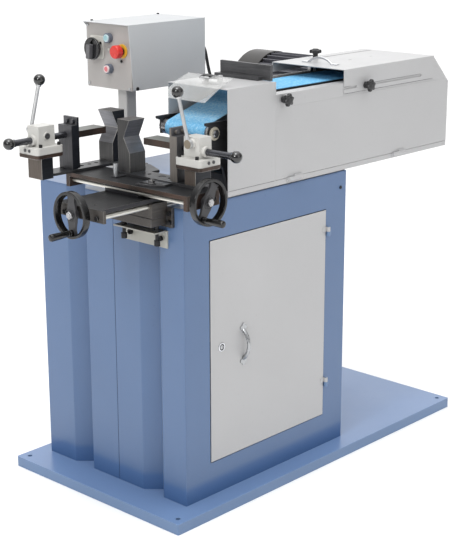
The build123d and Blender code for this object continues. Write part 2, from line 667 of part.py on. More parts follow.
# ---------------------------------------------------------------------------
# Motor
# ---------------------------------------------------------------------------
with BuildPart() as motor_body:
    rod("y", MOTOR_Y0, FLANGE_Y + 1, WHEEL_X, WHEEL_Z, 98)
    rod("y", FLANGE_Y, FLANGE_Y + 13, WHEEL_X, WHEEL_Z, FIN_R + 2)
    rod("y", FLANGE_Y + 10, MOTOR_Y1, WHEEL_X, WHEEL_Z, MOTOR_R)
    for k in range(36):
        spot = Location((WHEEL_X, 0, WHEEL_Z), (0, 10 * k, 0))
        block(MOTOR_R - 4, FIN_R, FLANGE_Y + 12, MOTOR_Y1 - 12, -1.6, 1.6, at=spot)
    # terminal box towards the operator's end
    block(WHEEL_X - 176, WHEEL_X - 90, 46, 154, WHEEL_Z - 44, WHEEL_Z + 42)
    rod("y", 10, MOTOR_Y1 - 14, WHEEL_X, WHEEL_Z, 70, mode=Mode.SUBTRACT)
    rod("y", MOTOR_Y0 - 1, MOTOR_Y1 + 1, WHEEL_X, WHEEL_Z, SHAFT_R + FIT, mode=Mode.SUBTRACT)
motor_body.part.label = "motor_body"
export_step(motor_body.part, "parts/motor_body.step")

with BuildPart() as motor_cowl:
    rod("y", MOTOR_Y1 - 10, COWL_Y1, WHEEL_X, WHEEL_Z, FIN_R + 2)
    fillet(motor_cowl.faces().sort_by(Axis.Y)[-1].edges(), 6)
    rod("y", MOTOR_Y1 - 11, COWL_Y1 - 3, WHEEL_X, WHEEL_Z, FIN_R - 1, mode=Mode.SUBTRACT)
    for count, radius in ((8, 28), (14, 50), (20, 72), (26, 93)):
        for k in range(count):
            a = 2 * math.pi * k / count
            rod(
                "y",
                COWL_Y1 - 6,
                COWL_Y1 + 1,
                WHEEL_X + radius * math.cos(a),
                WHEEL_Z + radius * math.sin(a),
                6.5,
                mode=Mode.SUBTRACT,
            )
    # inner ring on which the cowl sits on the motor's end shield
    with BuildSketch(Plane((0, MOTOR_Y1 + 4, 0), x_dir=(1, 0, 0), z_dir=(0, -1, 0))) as seat:
        with Locations((WHEEL_X, WHEEL_Z)):
            Circle(FIN_R)
            Circle(100, mode=Mode.SUBTRACT)
    extrude(seat.sketch, amount=4)
motor_cowl.part.label = "motor_cowl"
export_step(motor_cowl.part, "parts/motor_cowl.step")

# ---------------------------------------------------------------------------
# Control box on its post
# ---------------------------------------------------------------------------
with BuildPart() as control_post:
    block(POST_X - 50, POST_X + 50, POST_Y - 50, POST_Y + 50, CZ1, CZ1 + 8)
    h = POST_W / 2
    block(POST_X - h, POST_X + h, POST_Y - h, POST_Y + h, CZ1 + 8, BZ0)
    fillet(
        control_post.edges()
        .filter_by(Axis.Z)
        .filter_by_position(Axis.X, POST_X - h - 0.1, POST_X + h + 0.1),
        4,
    )
    block(POST_X - h + 3, POST_X + h - 3, POST_Y - h + 3, POST_Y + h - 3, CZ1 + 8, BZ0 - 3, mode=Mode.SUBTRACT)
control_post.part.label = "control_post"
export_step(control_post.part, "parts/control_post.step")

with BuildPart() as control_panel:
    block(BX0, BX0 + BT, BY0 + BT, BY1 - BT, BZ0, BZ1 - BT)
    block(BX0 + BT, BX1 - BT, BY0 + BT, BY1 - BT, BZ0, BZ0 + BT)
    block(BX1 - BT, BX1, BY0 + BT, BY1 - BT, BZ0, BZ1 - BT)
    # folded edge along the near side of the front
    block(BX0, BX0 + 14, BY0 + BT, BY0 + 2 * BT, BZ0, BZ1 - BT)
    rod("x", BX0 - 1, BX0 + 3, SWITCH_Y, SWITCH_Z, 8.0 + FIT, mode=Mode.SUBTRACT)
    for y, z in ((START_Y, START_Z), (STOP_Y, STOP_Z), (ESTOP_Y, ESTOP_Z)):
        rod("x", BX0 - 1, BX0 + 3, y, z, 11.3, mode=Mode.SUBTRACT)
control_panel.part.label = "control_panel"
export_step(control_panel.part, "parts/control_panel.step")

with BuildPart() as control_cover:
    block(BX0 - 12, BX1 + 2, BY0, BY1, BZ1 - BT, BZ1)
    plate_y(
        [(BX0 - 12, BZ1 - BT), (BX1, BZ1 - BT), (BX1, BZ0 + 1), (BX0 + 5, BZ0 + 1)],
        BY0,
        BY0 + BT,
    )
    plate_y(
        [(BX0 - 12, BZ1 - BT), (BX1, BZ1 - BT), (BX1, BZ0 + 1), (BX0, BZ0 + 1), (BX0, BZ1 - 14)],
        BY1 - BT,
        BY1,
    )
control_cover.part.label = "control_cover"
export_step(control_cover.part, "parts/control_cover.step")

with BuildPart() as control_fittings:
    # plate behind the main switch
    block(BX0 - 4, BX0, SWITCH_Y - 29, SWITCH_Y + 30, SWITCH_Z - 30, SWITCH_Z + 37)
    fillet(control_fittings.edges().filter_by(Axis.X), 8)
    rod("x", BX0 - 5, BX0 + 1, SWITCH_Y, SWITCH_Z, 8.0 + FIT, mode=Mode.SUBTRACT)
    # collars of the two push buttons
    for y, z in ((START_Y, START_Z), (STOP_Y, STOP_Z)):
        rod("x", BX0 - 14, BX0, y, z, 14.5)
        rod("x", BX0 - 15, BX0 + 1, y, z, 11.3, mode=Mode.SUBTRACT)
    # collar ring of the stop mushroom
    rod("x", BX0 - 5, BX0, ESTOP_Y, ESTOP_Z, 20.5)
    rod("x", BX0 - 6, BX0 + 1, ESTOP_Y, ESTOP_Z, 11.3, mode=Mode.SUBTRACT)
    # cable glands: motor lead at the box, mains inlet at the box, motor lead at the motor
    hexbar("x", BX1, BX1 + 6, LEAD[0][1], LEAD[0][2], 22)
    rod("x", BX1 + 6, LEAD[0][0], LEAD[0][1], LEAD[0][2], 9.0)
    hexbar("x", BX1, BX1 + 6, 270, 1180, 22)
    rod("x", BX1 + 6, BX1 + 18, 270, 1180, 9.0)
    rod("x", BX1 + 8, BX1 + 19, 270, 1180, 5.5, mode=Mode.SUBTRACT)
    hexbar("x", WHEEL_X - 182, WHEEL_X - 176, 100, LEAD[-1][2], 22)
    rod("x", LEAD[-1][0], WHEEL_X - 182, 100, LEAD[-1][2], 9.0)
control_fittings.part.label = "control_fittings"
export_step(control_fittings.part, "parts/control_fittings.step")

with BuildPart() as main_switch:
    rod("x", BX0 - 8, BX0 + 14, SWITCH_Y, SWITCH_Z, 8.0)
    rod("x", BX0 - 20, BX0 - 4.4, SWITCH_Y, SWITCH_Z, 18.0)
    rod("x", BX0 - 27, BX0 - 19, SWITCH_Y, SWITCH_Z, 33.0)
    chamfer(main_switch.faces().sort_by(Axis.X)[0].edges(), 2)
    spot = Location((BX0, SWITCH_Y, SWITCH_Z), (4, 0, 0))
    block(-41, -26.5, -8, 8, -29, 13, at=spot)
main_switch.part.label = "main_switch"
export_step(main_switch.part, "parts/main_switch.step")

with BuildPart() as estop_button:
    rod("x", BX0 - 20, BX0 + 12, ESTOP_Y, ESTOP_Z, 11.0)
    rod("x", BX0 - 36, BX0 - 16, ESTOP_Y, ESTOP_Z, 19.5)
    fillet(estop_button.faces().sort_by(Axis.X)[0].edges(), 5)
estop_button.part.label = "estop_button"
export_step(estop_button.part, "parts/estop_button.step")

with BuildPart() as start_button:
    rod("x", BX0 - 17, BX0 + 12, START_Y, START_Z, 11.0)
    fillet(start_button.faces().sort_by(Axis.X)[0].edges(), 1.2)
start_button.part.label = "start_button"
export_step(start_button.part, "parts/start_button.step")

with BuildPart() as stop_button:
    rod("x", BX0 - 18.5, BX0 + 12, STOP_Y, STOP_Z, 11.0)
    fillet(stop_button.faces().sort_by(Axis.X)[0].edges(), 1.2)
stop_button.part.label = "stop_button"
export_step(stop_button.part, "parts/stop_button.step")

# motor lead: runs joined by arcs as large as they allow
corners = [Vector(*p) for p in LEAD]
radii = []
for i in range(1, len(corners) - 1):
    into, out = corners[i] - corners[i - 1], corners[i + 1] - corners[i]
    turn = into.get_angle(out)
    radii.append(0.45 * min(into.length, out.length) / math.tan(math.radians(turn / 2)))
    print("lead corner", i, "turn", round(turn, 1), "radius", round(radii[-1], 1))
with BuildPart() as motor_lead:
    with BuildLine() as lead_path:
        FilletPolyline(*LEAD, radius=radii)
    lead_wire = lead_path.wires()[0]
    with BuildSketch(Plane(lead_wire @ 0, z_dir=lead_wire % 0)):
        Circle(LEAD_D / 2)
    sweep(path=lead_wire)
print(
    "lead length",
    round(lead_wire.length, 1),
    "volume share",
    round(motor_lead.part.volume / (lead_wire.length * math.pi * LEAD_D**2 / 4), 4),
)
motor_lead.part.label = "motor_lead"
export_step(motor_lead.part, "parts/motor_lead.step")

# ---------------------------------------------------------------------------
# Cross slide, along X
# ---------------------------------------------------------------------------
with BuildPart() as slide_base:
    block(CX0 - 10, CX0, -254, -30, 840, CZ1)
    block(-625, CX0 - 10, -234, -50, 848, 872)
slide_base.part.label = "slide_base"
export_step(slide_base.part, "parts/slide_base.step")

with BuildPart() as slide_bracket:
    block(-603, CX0, -223, -61, 823, 827)
    block(CX0 - 4, CX0, -229, -61, 778, 827)
    for y in (-84, -214):
        rod("z", 820, 830, -585, y, 5.3, mode=Mode.SUBTRACT)
slide_bracket.part.label = "slide_bracket"
export_step(slide_bracket.part, "parts/slide_bracket.step")

with BuildPart() as x_guide_block:
    block(-623, CX0 - 10, -236, -48, 872, 912.4)
    for y in XROD_Y:
        rod("x", -630, CX0, y, XS_Z, XROD_R + FIT, mode=Mode.SUBTRACT)
    rod("x", -630, CX0, XS_Y, XS_Z, SCREW_R + 0.4, mode=Mode.SUBTRACT)
x_guide_block.part.label = "x_guide_block"
export_step(x_guide_block.part, "parts/x_guide_block.step")

with BuildPart() as x_table:
    block(-795, -535, -228, -60, 914, 925)
    block(-803, -795, -246, -78, 893, 926)
    for y in XROD_Y:
        rod("x", -804, -786, y, XS_Z, XROD_R, mode=Mode.SUBTRACT)
    rod("x", -804, -786, XS_Y, XS_Z, SCREW_R + FIT, mode=Mode.SUBTRACT)
    for y in XROD_Y:
        rod("x", -808, -803, y, XS_Z, 6.5)
    rod("z", 921, 927, -762, -167, 4.0, mode=Mode.SUBTRACT)
x_table.part.label = "x_table"
export_step(x_table.part, "parts/x_table.step")

with BuildPart() as x_rods:
    for y in XROD_Y:
        rod("x", -803, -507, y, XS_Z, XROD_R)
x_rods.part.label = "x_rods"
export_step(x_rods.part, "parts/x_rods.step")

X_WHEEL = Location((-806.5, XS_Y, XS_Z), (0, -90, 0))
X_WHEEL = X_WHEEL * Location((0, 0, 0), (0, 0, -90))
with BuildPart() as x_handwheel:
    handwheel(X_WHEEL)
    rod("z", -1, 29, 0, 0, SCREW_R + FIT, at=X_WHEEL, mode=Mode.SUBTRACT)
    rod("z", 8, 29, 0, -GRIP_RADIUS, 4.0 + FIT, at=X_WHEEL, mode=Mode.SUBTRACT)
    leadscrew(X_WHEEL, 240)
x_handwheel.part.label = "x_handwheel"
export_step(x_handwheel.part, "parts/x_handwheel.step")

with BuildPart() as x_grip:
    grip(X_WHEEL)
    rod("z", 10, 30, 0, -GRIP_RADIUS, 4.0, at=X_WHEEL)
x_grip.part.label = "x_grip"
export_step(x_grip.part, "parts/x_grip.step")

# ---------------------------------------------------------------------------
# Cross slide, along Y
# ---------------------------------------------------------------------------
with BuildPart() as y_guide_block:
    block(-633, -535, -192, -64, 925, 948)
    for x in YROD_X:
        rod("y", -200, -60, x, YS_Z, ROD_R + FIT, mode=Mode.SUBTRACT)
    rod("y", -200, -60, YS_X, YS_Z, SCREW_R + 0.4, mode=Mode.SUBTRACT)
y_guide_block.part.label = "y_guide_block"
export_step(y_guide_block.part, "parts/y_guide_block.step")

lock_a = math.radians(LOCK_A)
LOCK_BOLT = (PIVOT_X + SLOT_R * math.cos(lock_a), PIVOT_Y + SLOT_R * math.sin(lock_a))
with BuildPart() as y_table:
    block(-645, -525, -375, 68, 948.5, 960)
    block(-645, -525, -389, -375, 920, 960)
    block(-645, -525, 68, 82, 920, 960)
    for x in YROD_X:
        for y in (-382, 75):
            rod("y", y - 9, y + 9, x, YS_Z, ROD_R, mode=Mode.SUBTRACT)
    rod("y", -390, -374, YS_X, YS_Z, SCREW_R + FIT, mode=Mode.SUBTRACT)
    # pivot pin of the vise, and its lock stud with washer and nut
    rod("z", 952, PLATE_Z1 - 1, PIVOT_X, PIVOT_Y, PIVOT_R)
    rod("z", 952, EAR_Z1 + 13, LOCK_BOLT[0], LOCK_BOLT[1], 5.0)
    rod("z", EAR_Z1 + 0.4, EAR_Z1 + 3, LOCK_BOLT[0], LOCK_BOLT[1], 11.0)
    hexbar("z", EAR_Z1 + 3, EAR_Z1 + 10, LOCK_BOLT[0], LOCK_BOLT[1], 16.0)
y_table.part.label = "y_table"
export_step(y_table.part, "parts/y_table.step")

with BuildPart() as y_rods:
    for x in YROD_X:
        rod("y", -389, 82, x, YS_Z, ROD_R)
y_rods.part.label = "y_rods"
export_step(y_rods.part, "parts/y_rods.step")

Y_WHEEL = Location((YS_X, -392.5, YS_Z), (90, 0, 0)) * Location((0, 0, 0), (0, 0, -28))
with BuildPart() as y_handwheel:
    handwheel(Y_WHEEL)
    rod("z", -1, 29, 0, 0, SCREW_R + FIT, at=Y_WHEEL, mode=Mode.SUBTRACT)
    rod("z", 8, 29, 0, -GRIP_RADIUS, 4.0 + FIT, at=Y_WHEEL, mode=Mode.SUBTRACT)
    leadscrew(Y_WHEEL, 350)
y_handwheel.part.label = "y_handwheel"
export_step(y_handwheel.part, "parts/y_handwheel.step")

with BuildPart() as y_grip:
    grip(Y_WHEEL)
    rod("z", 10, 30, 0, -GRIP_RADIUS, 4.0, at=Y_WHEEL)
y_grip.part.label = "y_grip"
export_step(y_grip.part, "parts/y_grip.step")

# ---------------------------------------------------------------------------
# Swivelling vise plate with its V blocks, clamp posts and castings
# ---------------------------------------------------------------------------
BAR_A_Y0, BAR_A_Y1 = 57.0, 113.0
BAR_B_X0, BAR_B_X1 = -573.0, -510.0
BAR_A_X0, BAR_B_Y0 = -709.0, -348.0
with BuildPart() as swivel_plate:
    plate_z(
        [
            (BAR_A_X0, BAR_A_Y0),
            (-505, BAR_A_Y0 - 8),
            (-505, -46),
            (BAR_B_X0, -46),
            (BAR_B_X0, BAR_B_Y0),
            (BAR_B_X1, BAR_B_Y0),
            (BAR_B_X1, -120),
            (-480, -120),
            (-444, -48),
            (-444, BAR_A_Y1),
            (BAR_A_X0, BAR_A_Y1),
        ],
        PLATE_Z0,
        PLATE_Z1,
    )
    # ear with the arc slot of the lock stud
    ring = [
        (PIVOT_X + EAR_R * math.cos(math.radians(a)), PIVOT_Y + EAR_R * math.sin(math.radians(a)))
        for a in range(229, 177, -3)
    ]
    plate_z(
        [(BAR_B_X0 + 12, ring[0][1])] + ring + [(BAR_B_X0 + 12, ring[-1][1])],
        PLATE_Z0,
        EAR_Z1,
    )
    inner_arc = [
        (PIVOT_X + (SLOT_R - 5.6) * math.cos(math.radians(a)), PIVOT_Y + (SLOT_R - 5.6) * math.sin(math.radians(a)))
        for a in range(181, 227, 3)
    ]
    outer_arc = [
        (PIVOT_X + (SLOT_R + 5.6) * math.cos(math.radians(a)), PIVOT_Y + (SLOT_R + 5.6) * math.sin(math.radians(a)))
        for a in range(181, 227, 3)
    ]
    plate_z(inner_arc + outer_arc[::-1], PLATE_Z0 - 1, PLATE_Z1 + 1, mode=Mode.SUBTRACT)
    # low tab of the index pin
    block(-612, BAR_B_X0, -86, -64, PLATE_Z0, PLATE_Z0 + 3)
    rod("z", PLATE_Z0 - 1, PLATE_Z1 + 1, PIVOT_X, PIVOT_Y, PIVOT_R + FIT, mode=Mode.SUBTRACT)
    # guide slots of the two sliding jaws
    slot_z(-652, -578, CLAMP_A[1], 7.0, PLATE_Z0 - 1, PLATE_Z1 + 1)
    block(CLAMP_B[0] - 7, CLAMP_B[0] + 7, -286, -216, PLATE_Z0 - 1, PLATE_Z1 + 1, mode=Mode.SUBTRACT)
    # spare setting holes
    for x in (-556, -530):
        rod("z", PLATE_Z0 - 1, PLATE_Z1 + 1, x, 85, 6.0, mode=Mode.SUBTRACT)
    for y in (-140, -118):
        rod("z", PLATE_Z0 - 1, PLATE_Z1 + 1, CLAMP_B[0], y, 6.0, mode=Mode.SUBTRACT)
swivel_plate.part.label = "swivel_plate"
export_step(swivel_plate.part, "parts/swivel_plate.step")

VZ0, VZ1, VA, VB, VC = PLATE_Z1, 1113.0, 1022.0, 1063.0, 1112.0
AT_A = Location(CLAMP_A)
AT_B = Location(CLAMP_B, (0, 0, 90))
AT_BJ = Location((CLAMP_B[0], CLAMP_B[1], CLAMP_Z), (0, 0, 90))
FLANGE = ((-52.0, -41.0), (42.0, -41.0), (42.0, 41.0), (-52.0, 41.0))
with BuildPart() as vise_blocks:
    # pads of the two clamps
    for at in (AT_A, AT_B):
        block(-52, 42, -41, 41, -47, -36, at=at)
    fillet(vise_blocks.edges().filter_by(Axis.Z), 10)
    # V block facing -X
    x0, x1 = -492.0, -444.0
    plate_y(
        [(x0, VZ0), (x1, VZ0), (x1, VZ1), (x0, VZ1), (x0, VC), (x0 + VEE_DEPTH, VB), (x0, VA)],
        56.0,
        114.0,
    )
    # V block facing -Y
    y0, y1 = -94.0, -48.0
    with BuildSketch(Plane((-567, 0, 0), x_dir=(0, 1, 0), z_dir=(1, 0, 0))) as vee:
        with BuildLine():
            Polyline(
                (y0, VZ0), (y1, VZ0), (y1, VZ1), (y0, VZ1), (y0, VC), (y0 + VEE_DEPTH, VB), (y0, VA), close=True
            )
        make_face()
    extrude(vee.sketch, amount=59)
    # posts under the pads
    block(-26, 14, -26, 32, 955 - CLAMP_A[2], -46, at=AT_A)
    block(-26, 14, -26, 32, PLATE_Z1 - CLAMP_B[2], -46, at=AT_B)
vise_blocks.part.label = "vise_blocks"
export_step(vise_blocks.part, "parts/vise_blocks.step")

with BuildPart() as clamp_castings:
    for at in (AT_A, AT_B):
        with BuildSketch(Plane(at * Location((0, 0, -36)))) as flange:
            with BuildLine():
                Polyline(*FLANGE, close=True)
            make_face()
        extrude(flange.sketch, amount=19)
    fillet(clamp_castings.edges().filter_by(Axis.Z), 10)
    for at in (AT_A, AT_B):
        block(-31, 25, -24, 22, -18, 38, at=at)
        rod("y", 20, 31, LEVER_U, LEVER_W, 13.0, at=at)
        rod("x", -40, -29, 0, 0, 15.0, at=at)
        rod("y", -26.5, -20, -3, 10, 11.0, at=at)
        rod("x", -42, 30, 0, 0, CLAMP_ROD_R + FIT, at=at, mode=Mode.SUBTRACT)
        rod("y", -16, 32, LEVER_U, LEVER_W, 7.0 + FIT, at=at, mode=Mode.SUBTRACT)
clamp_castings.part.label = "clamp_castings"
export_step(clamp_castings.part, "parts/clamp_castings.step")

with BuildPart() as vise_bolts:
    for at in (AT_A, AT_B):
        for u, v in ((-31, -31), (-31, 31), (33, -31), (33, 31)):
            rod("z", -17, -9, u, v, 5.0, at=at)
            rod("z", -11, -8, u, v, 2.6, at=at, mode=Mode.SUBTRACT)
        for v in (-9, 9):
            rod("x", -54, -52, v, -26, 4.5, at=at)
        # cap over the far end of the lever's shaft
        rod("y", -28.5, -26.5, -3, 10, 8.5, at=at)
        block(-12, 6, -29, -27.5, 9, 11, at=at, mode=Mode.SUBTRACT)
    # index pin on its tab
    rod("z", PLATE_Z0 + 3, 998, -601, -75, 7.5)
    rod("z", 994, 1000, -601, -75, 3.5, mode=Mode.SUBTRACT)
vise_bolts.part.label = "vise_bolts"
export_step(vise_bolts.part, "parts/vise_bolts.step")


def clamp_rod(at, ball_u, jaw_u):
    """Push rod with its ball end, along local X."""
    rod("x", ball_u + 13, jaw_u, 0, 0, CLAMP_ROD_R, at=at)
    with Locations(at * Location((ball_u, 0, 0))):
        Sphere(16)
    rod("x", ball_u + 12, ball_u + 19, 0, 0, 10.5, at=at)


def clamp_jaw(at, u):
    """Sliding jaw: column with its key, thin stop plate and pusher, along local X."""
    block(u, u + 20, -28, 28, PLATE_Z1 + 0.4 - CLAMP_Z, 27, at=at)
    block(u + 2, u + 18, -6.3, 6.3, PLATE_Z0 + 2 - CLAMP_Z, PLATE_Z1 + 1 - CLAMP_Z, at=at)
    block(u + 20, u + 27, -28, 28, PLATE_Z1 + 2 - CLAMP_Z, 48, at=at)
    for v in (-14, 10):
        rod("x", u + 12, u + 20, v, 36, 6.0, at=at)
    block(u + 27, u + 128, -26, 26, -9, 9, at=at)


def lever(at, tip_u, tip_w):
    """Hub with its shaft, hand lever and ball."""
    rod("y", -14, 32, LEVER_U, LEVER_W, 7.0, at=at)
    rod("y", 31.4, 42, LEVER_U, LEVER_W, 12.0, at=at)
    du, dw = tip_u - LEVER_U, tip_w - LEVER_W
    length = math.hypot(du, dw)
    spot = at * Location((LEVER_U, LEVER_V, LEVER_W), (0, math.degrees(math.atan2(du, dw)), 0))
    rod("z", 10, length - 12, 0, 0, 5.0, at=spot)
    taper("z", length - 18, length - 10, 0, 0, 7.0, 9.5, at=spot)
    with Locations(spot * Location((0, 0, length))):
        Sphere(16)


with BuildPart() as clamp_a_rod:
    clamp_rod(AT_A, -113, 82)
clamp_a_rod.part.label = "clamp_a_rod"
export_step(clamp_a_rod.part, "parts/clamp_a_rod.step")

with BuildPart() as clamp_a_jaw:
    clamp_jaw(AT_A, 82)
clamp_a_jaw.part.label = "clamp_a_jaw"
export_step(clamp_a_jaw.part, "parts/clamp_a_jaw.step")

with BuildPart() as lever_a:
    lever(AT_A, 29, 153)
lever_a.part.label = "lever_a"
export_step(lever_a.part, "parts/lever_a.step")

with BuildPart() as clamp_b_rod:
    clamp_rod(AT_B, -141, 45)
clamp_b_rod.part.label = "clamp_b_rod"
export_step(clamp_b_rod.part, "parts/clamp_b_rod.step")

with BuildPart() as clamp_b_jaw:
    clamp_jaw(AT_BJ, 45)
clamp_b_jaw.part.label = "clamp_b_jaw"
export_step(clamp_b_jaw.part, "parts/clamp_b_jaw.step")

with BuildPart() as lever_b:
    lever(AT_B, 31.6, 154)
lever_b.part.label = "lever_b"
export_step(lever_b.part, "parts/lever_b.step")

# ---------------------------------------------------------------------------
# Work stop, eye shield, fixed hinge halves, fasteners
# ---------------------------------------------------------------------------
with BuildPart() as work_stop:
    block(-185, -175, -267, -74, HZ_FRONT, 1239)
    block(-206, -185, -238, -70, HZ_FRONT, 1205)
work_stop.part.label = "work_stop"
export_step(work_stop.part, "parts/work_stop.step")

SH_X, SH_Z = -322.0, 1213.0
with BuildPart() as eye_shield:
    # clear bent sheet
    plate_y(
        [
            (-336, 1219.5),
            (-379.5, 1205.0),
            (-447.2, 1166.5),
            (-448.6, 1164.0),
            (-379.0, 1201.8),
            (-336, 1216.4),
        ],
        -265,
        -93,
    )
    # hinge barrel and clamp strap with its two screws
    rod("y", -197, -155, SH_X, SH_Z, 5.5)
    plate_y(
        [(SH_X - 2, 1214.0), (SH_X - 2, 1218.4), (-336, 1222.0), (-357, 1215.0), (-356.3, 1212.4), (-336, 1219.2)],
        -197,
        -155,
    )
    for y in (-186, -165):
        rod("z", 1213, 1219.6, -347, y, 3.5)
    rod("y", -198, -154, SH_X, SH_Z, 3.0 + FIT, mode=Mode.SUBTRACT)
eye_shield.part.label = "eye_shield"
export_step(eye_shield.part, "parts/eye_shield.step")

with BuildPart() as fixed_hinge_halves:
    # cabinet door: lower halves with their pins
    for z in HINGE_Z:
        rod("z", z - 14, z, HINGE_X, HINGE_Y, 6.0)
        rod("z", z - 14, z + 15, HINGE_X, HINGE_Y, 3.0)
        block(HINGE_X, HINGE_X + 20, CY0 - 2.5, CY0, z - 14, z)
        block(HINGE_X - 2, HINGE_X + 4, HINGE_Y, CY0 - 1, z - 14, z)
    # head side door: fixed halves with their pins
    for x in SD_HINGE_X:
        rod("x", x - SD_HINGE_L, x, SD_AXIS_Y, SD_AXIS_Z, 5.5)
        rod("x", x - SD_HINGE_L, x + SD_HINGE_L, SD_AXIS_Y, SD_AXIS_Z, 2.5)
        block(x - SD_HINGE_L, x, HY0 - 2, HY0, HZ0 + 1, SD_AXIS_Z)
    # eye shield: base plate, ears and pin
    block(-336, -296, -206, -146, HZ_FRONT, HZ_FRONT + 4)
    for y in (-206, -153):
        block(SH_X - 7, SH_X + 7, y, y + 7, HZ_FRONT + 4, SH_Z + 7)
    rod("y", -206, -146, SH_X, SH_Z, 3.0)
fixed_hinge_halves.part.label = "fixed_hinge_halves"
export_step(fixed_hinge_halves.part, "parts/fixed_hinge_halves.step")

with BuildPart() as frame_screws:
    # jack bolts under the slide, with their locknuts
    for y in (-84, -214):
        rod("z", 790, 848, -585, y, 5.0)
        rod("z", 788, 804, -585, y, 8.5)
        hexbar("z", 827, 834, -585, y, 16.0)
    # bolts of the bracket on the cabinet front
    for y in (-88, -205):
        rod("x", CX0 - 13, CX0 - 4, y, 803, 7.5)
        rod("x", CX0 - 14, CX0 - 9, y, 803, 4.0, mode=Mode.SUBTRACT)
    # cabinet and control box screws
    rod("y", CY0 - 2.5, CY0, 116, 846, 5.0)
    for y, z in ((316, 1153), (141, 1150), (318, 1325), (138, 1325), (227, 1259), (174, 1228)):
        rod("x", BX0 - 2.5, BX0, y, z, 4.0)
    rod("x", BX0 - 6.5, BX0 - 4, 258, 1276, 4.0)
    for x in (-321, -60):
        rod("y", BY0 - 2.5, BY0, x, 1150, 5.5)
        rod("y", BY1, BY1 + 2.5, x, 1150, 5.5)
    for x in (-325, -50):
        rod("z", BZ1, BZ1 + 3.5, x, BY1 - 7, 4.0)
    # foot bolts of the control post
    for sx in (-36, 36):
        for sy in (-36, 36):
            hexbar("z", CZ1 + 8, CZ1 + 14, POST_X + sx, POST_Y + sy, 13.0)
    # slide mounting bolts
    for y in (-246, -38):
        for z in (855, 880):
            rod("x", CX0 - 18, CX0 - 10, y, z, 6.5)
frame_screws.part.label = "frame_screws"
export_step(frame_screws.part, "parts/frame_screws.step")
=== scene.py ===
import bpy
import bmesh
import json
import math
from mathutils import Matrix, Vector


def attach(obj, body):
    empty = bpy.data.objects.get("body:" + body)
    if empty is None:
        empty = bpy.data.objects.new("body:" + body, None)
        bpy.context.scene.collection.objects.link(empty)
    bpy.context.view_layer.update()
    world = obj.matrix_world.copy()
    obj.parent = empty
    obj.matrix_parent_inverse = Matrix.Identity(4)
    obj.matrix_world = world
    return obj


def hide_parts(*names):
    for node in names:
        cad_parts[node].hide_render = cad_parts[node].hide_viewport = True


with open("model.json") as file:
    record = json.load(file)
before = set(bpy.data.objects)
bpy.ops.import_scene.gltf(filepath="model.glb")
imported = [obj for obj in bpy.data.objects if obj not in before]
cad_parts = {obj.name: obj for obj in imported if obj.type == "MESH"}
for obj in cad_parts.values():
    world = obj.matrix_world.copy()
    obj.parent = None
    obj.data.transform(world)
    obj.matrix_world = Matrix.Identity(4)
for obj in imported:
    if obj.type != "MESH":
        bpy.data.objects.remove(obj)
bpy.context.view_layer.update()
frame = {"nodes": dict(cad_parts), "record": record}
nodes = frame["nodes"]
node_body = {n: b for b, ns in frame["record"]["behaviour"]["bodies"].items() for n in ns}
scene = bpy.context.scene
scene.view_settings.view_transform = "Standard"
scene.view_settings.look = "None"


# ---------------------------------------------------------------------------
# Camera
# ---------------------------------------------------------------------------
def make_camera():
    a, e, roll = math.radians(42.948), math.radians(16.040), math.radians(-0.175)
    forward = Vector((math.cos(a) * math.cos(e), math.sin(a) * math.cos(e), -math.sin(e)))
    right = Vector((math.sin(a), -math.cos(a), 0))
    up = right.cross(forward)
    r2 = right * math.cos(roll) + up * math.sin(roll)
    u2 = r2.cross(forward)
    data = bpy.data.cameras.new("camera")
    data.sensor_fit = "AUTO"
    data.sensor_width = 36.0
    data.lens = 1365.2 / 549 * 36.0
    data.clip_start, data.clip_end = 0.05, 200
    cam = bpy.data.objects.new("camera", data)
    scene.collection.objects.link(cam)
    m = Matrix.Identity(4)
    for i, v in enumerate((r2, u2, -forward)):
        for j in range(3):
            m[j][i] = v[j]
    m.translation = Vector((-3.0622, -2.7767, 1.7306))
    cam.matrix_world = m
    scene.camera = cam


make_camera()


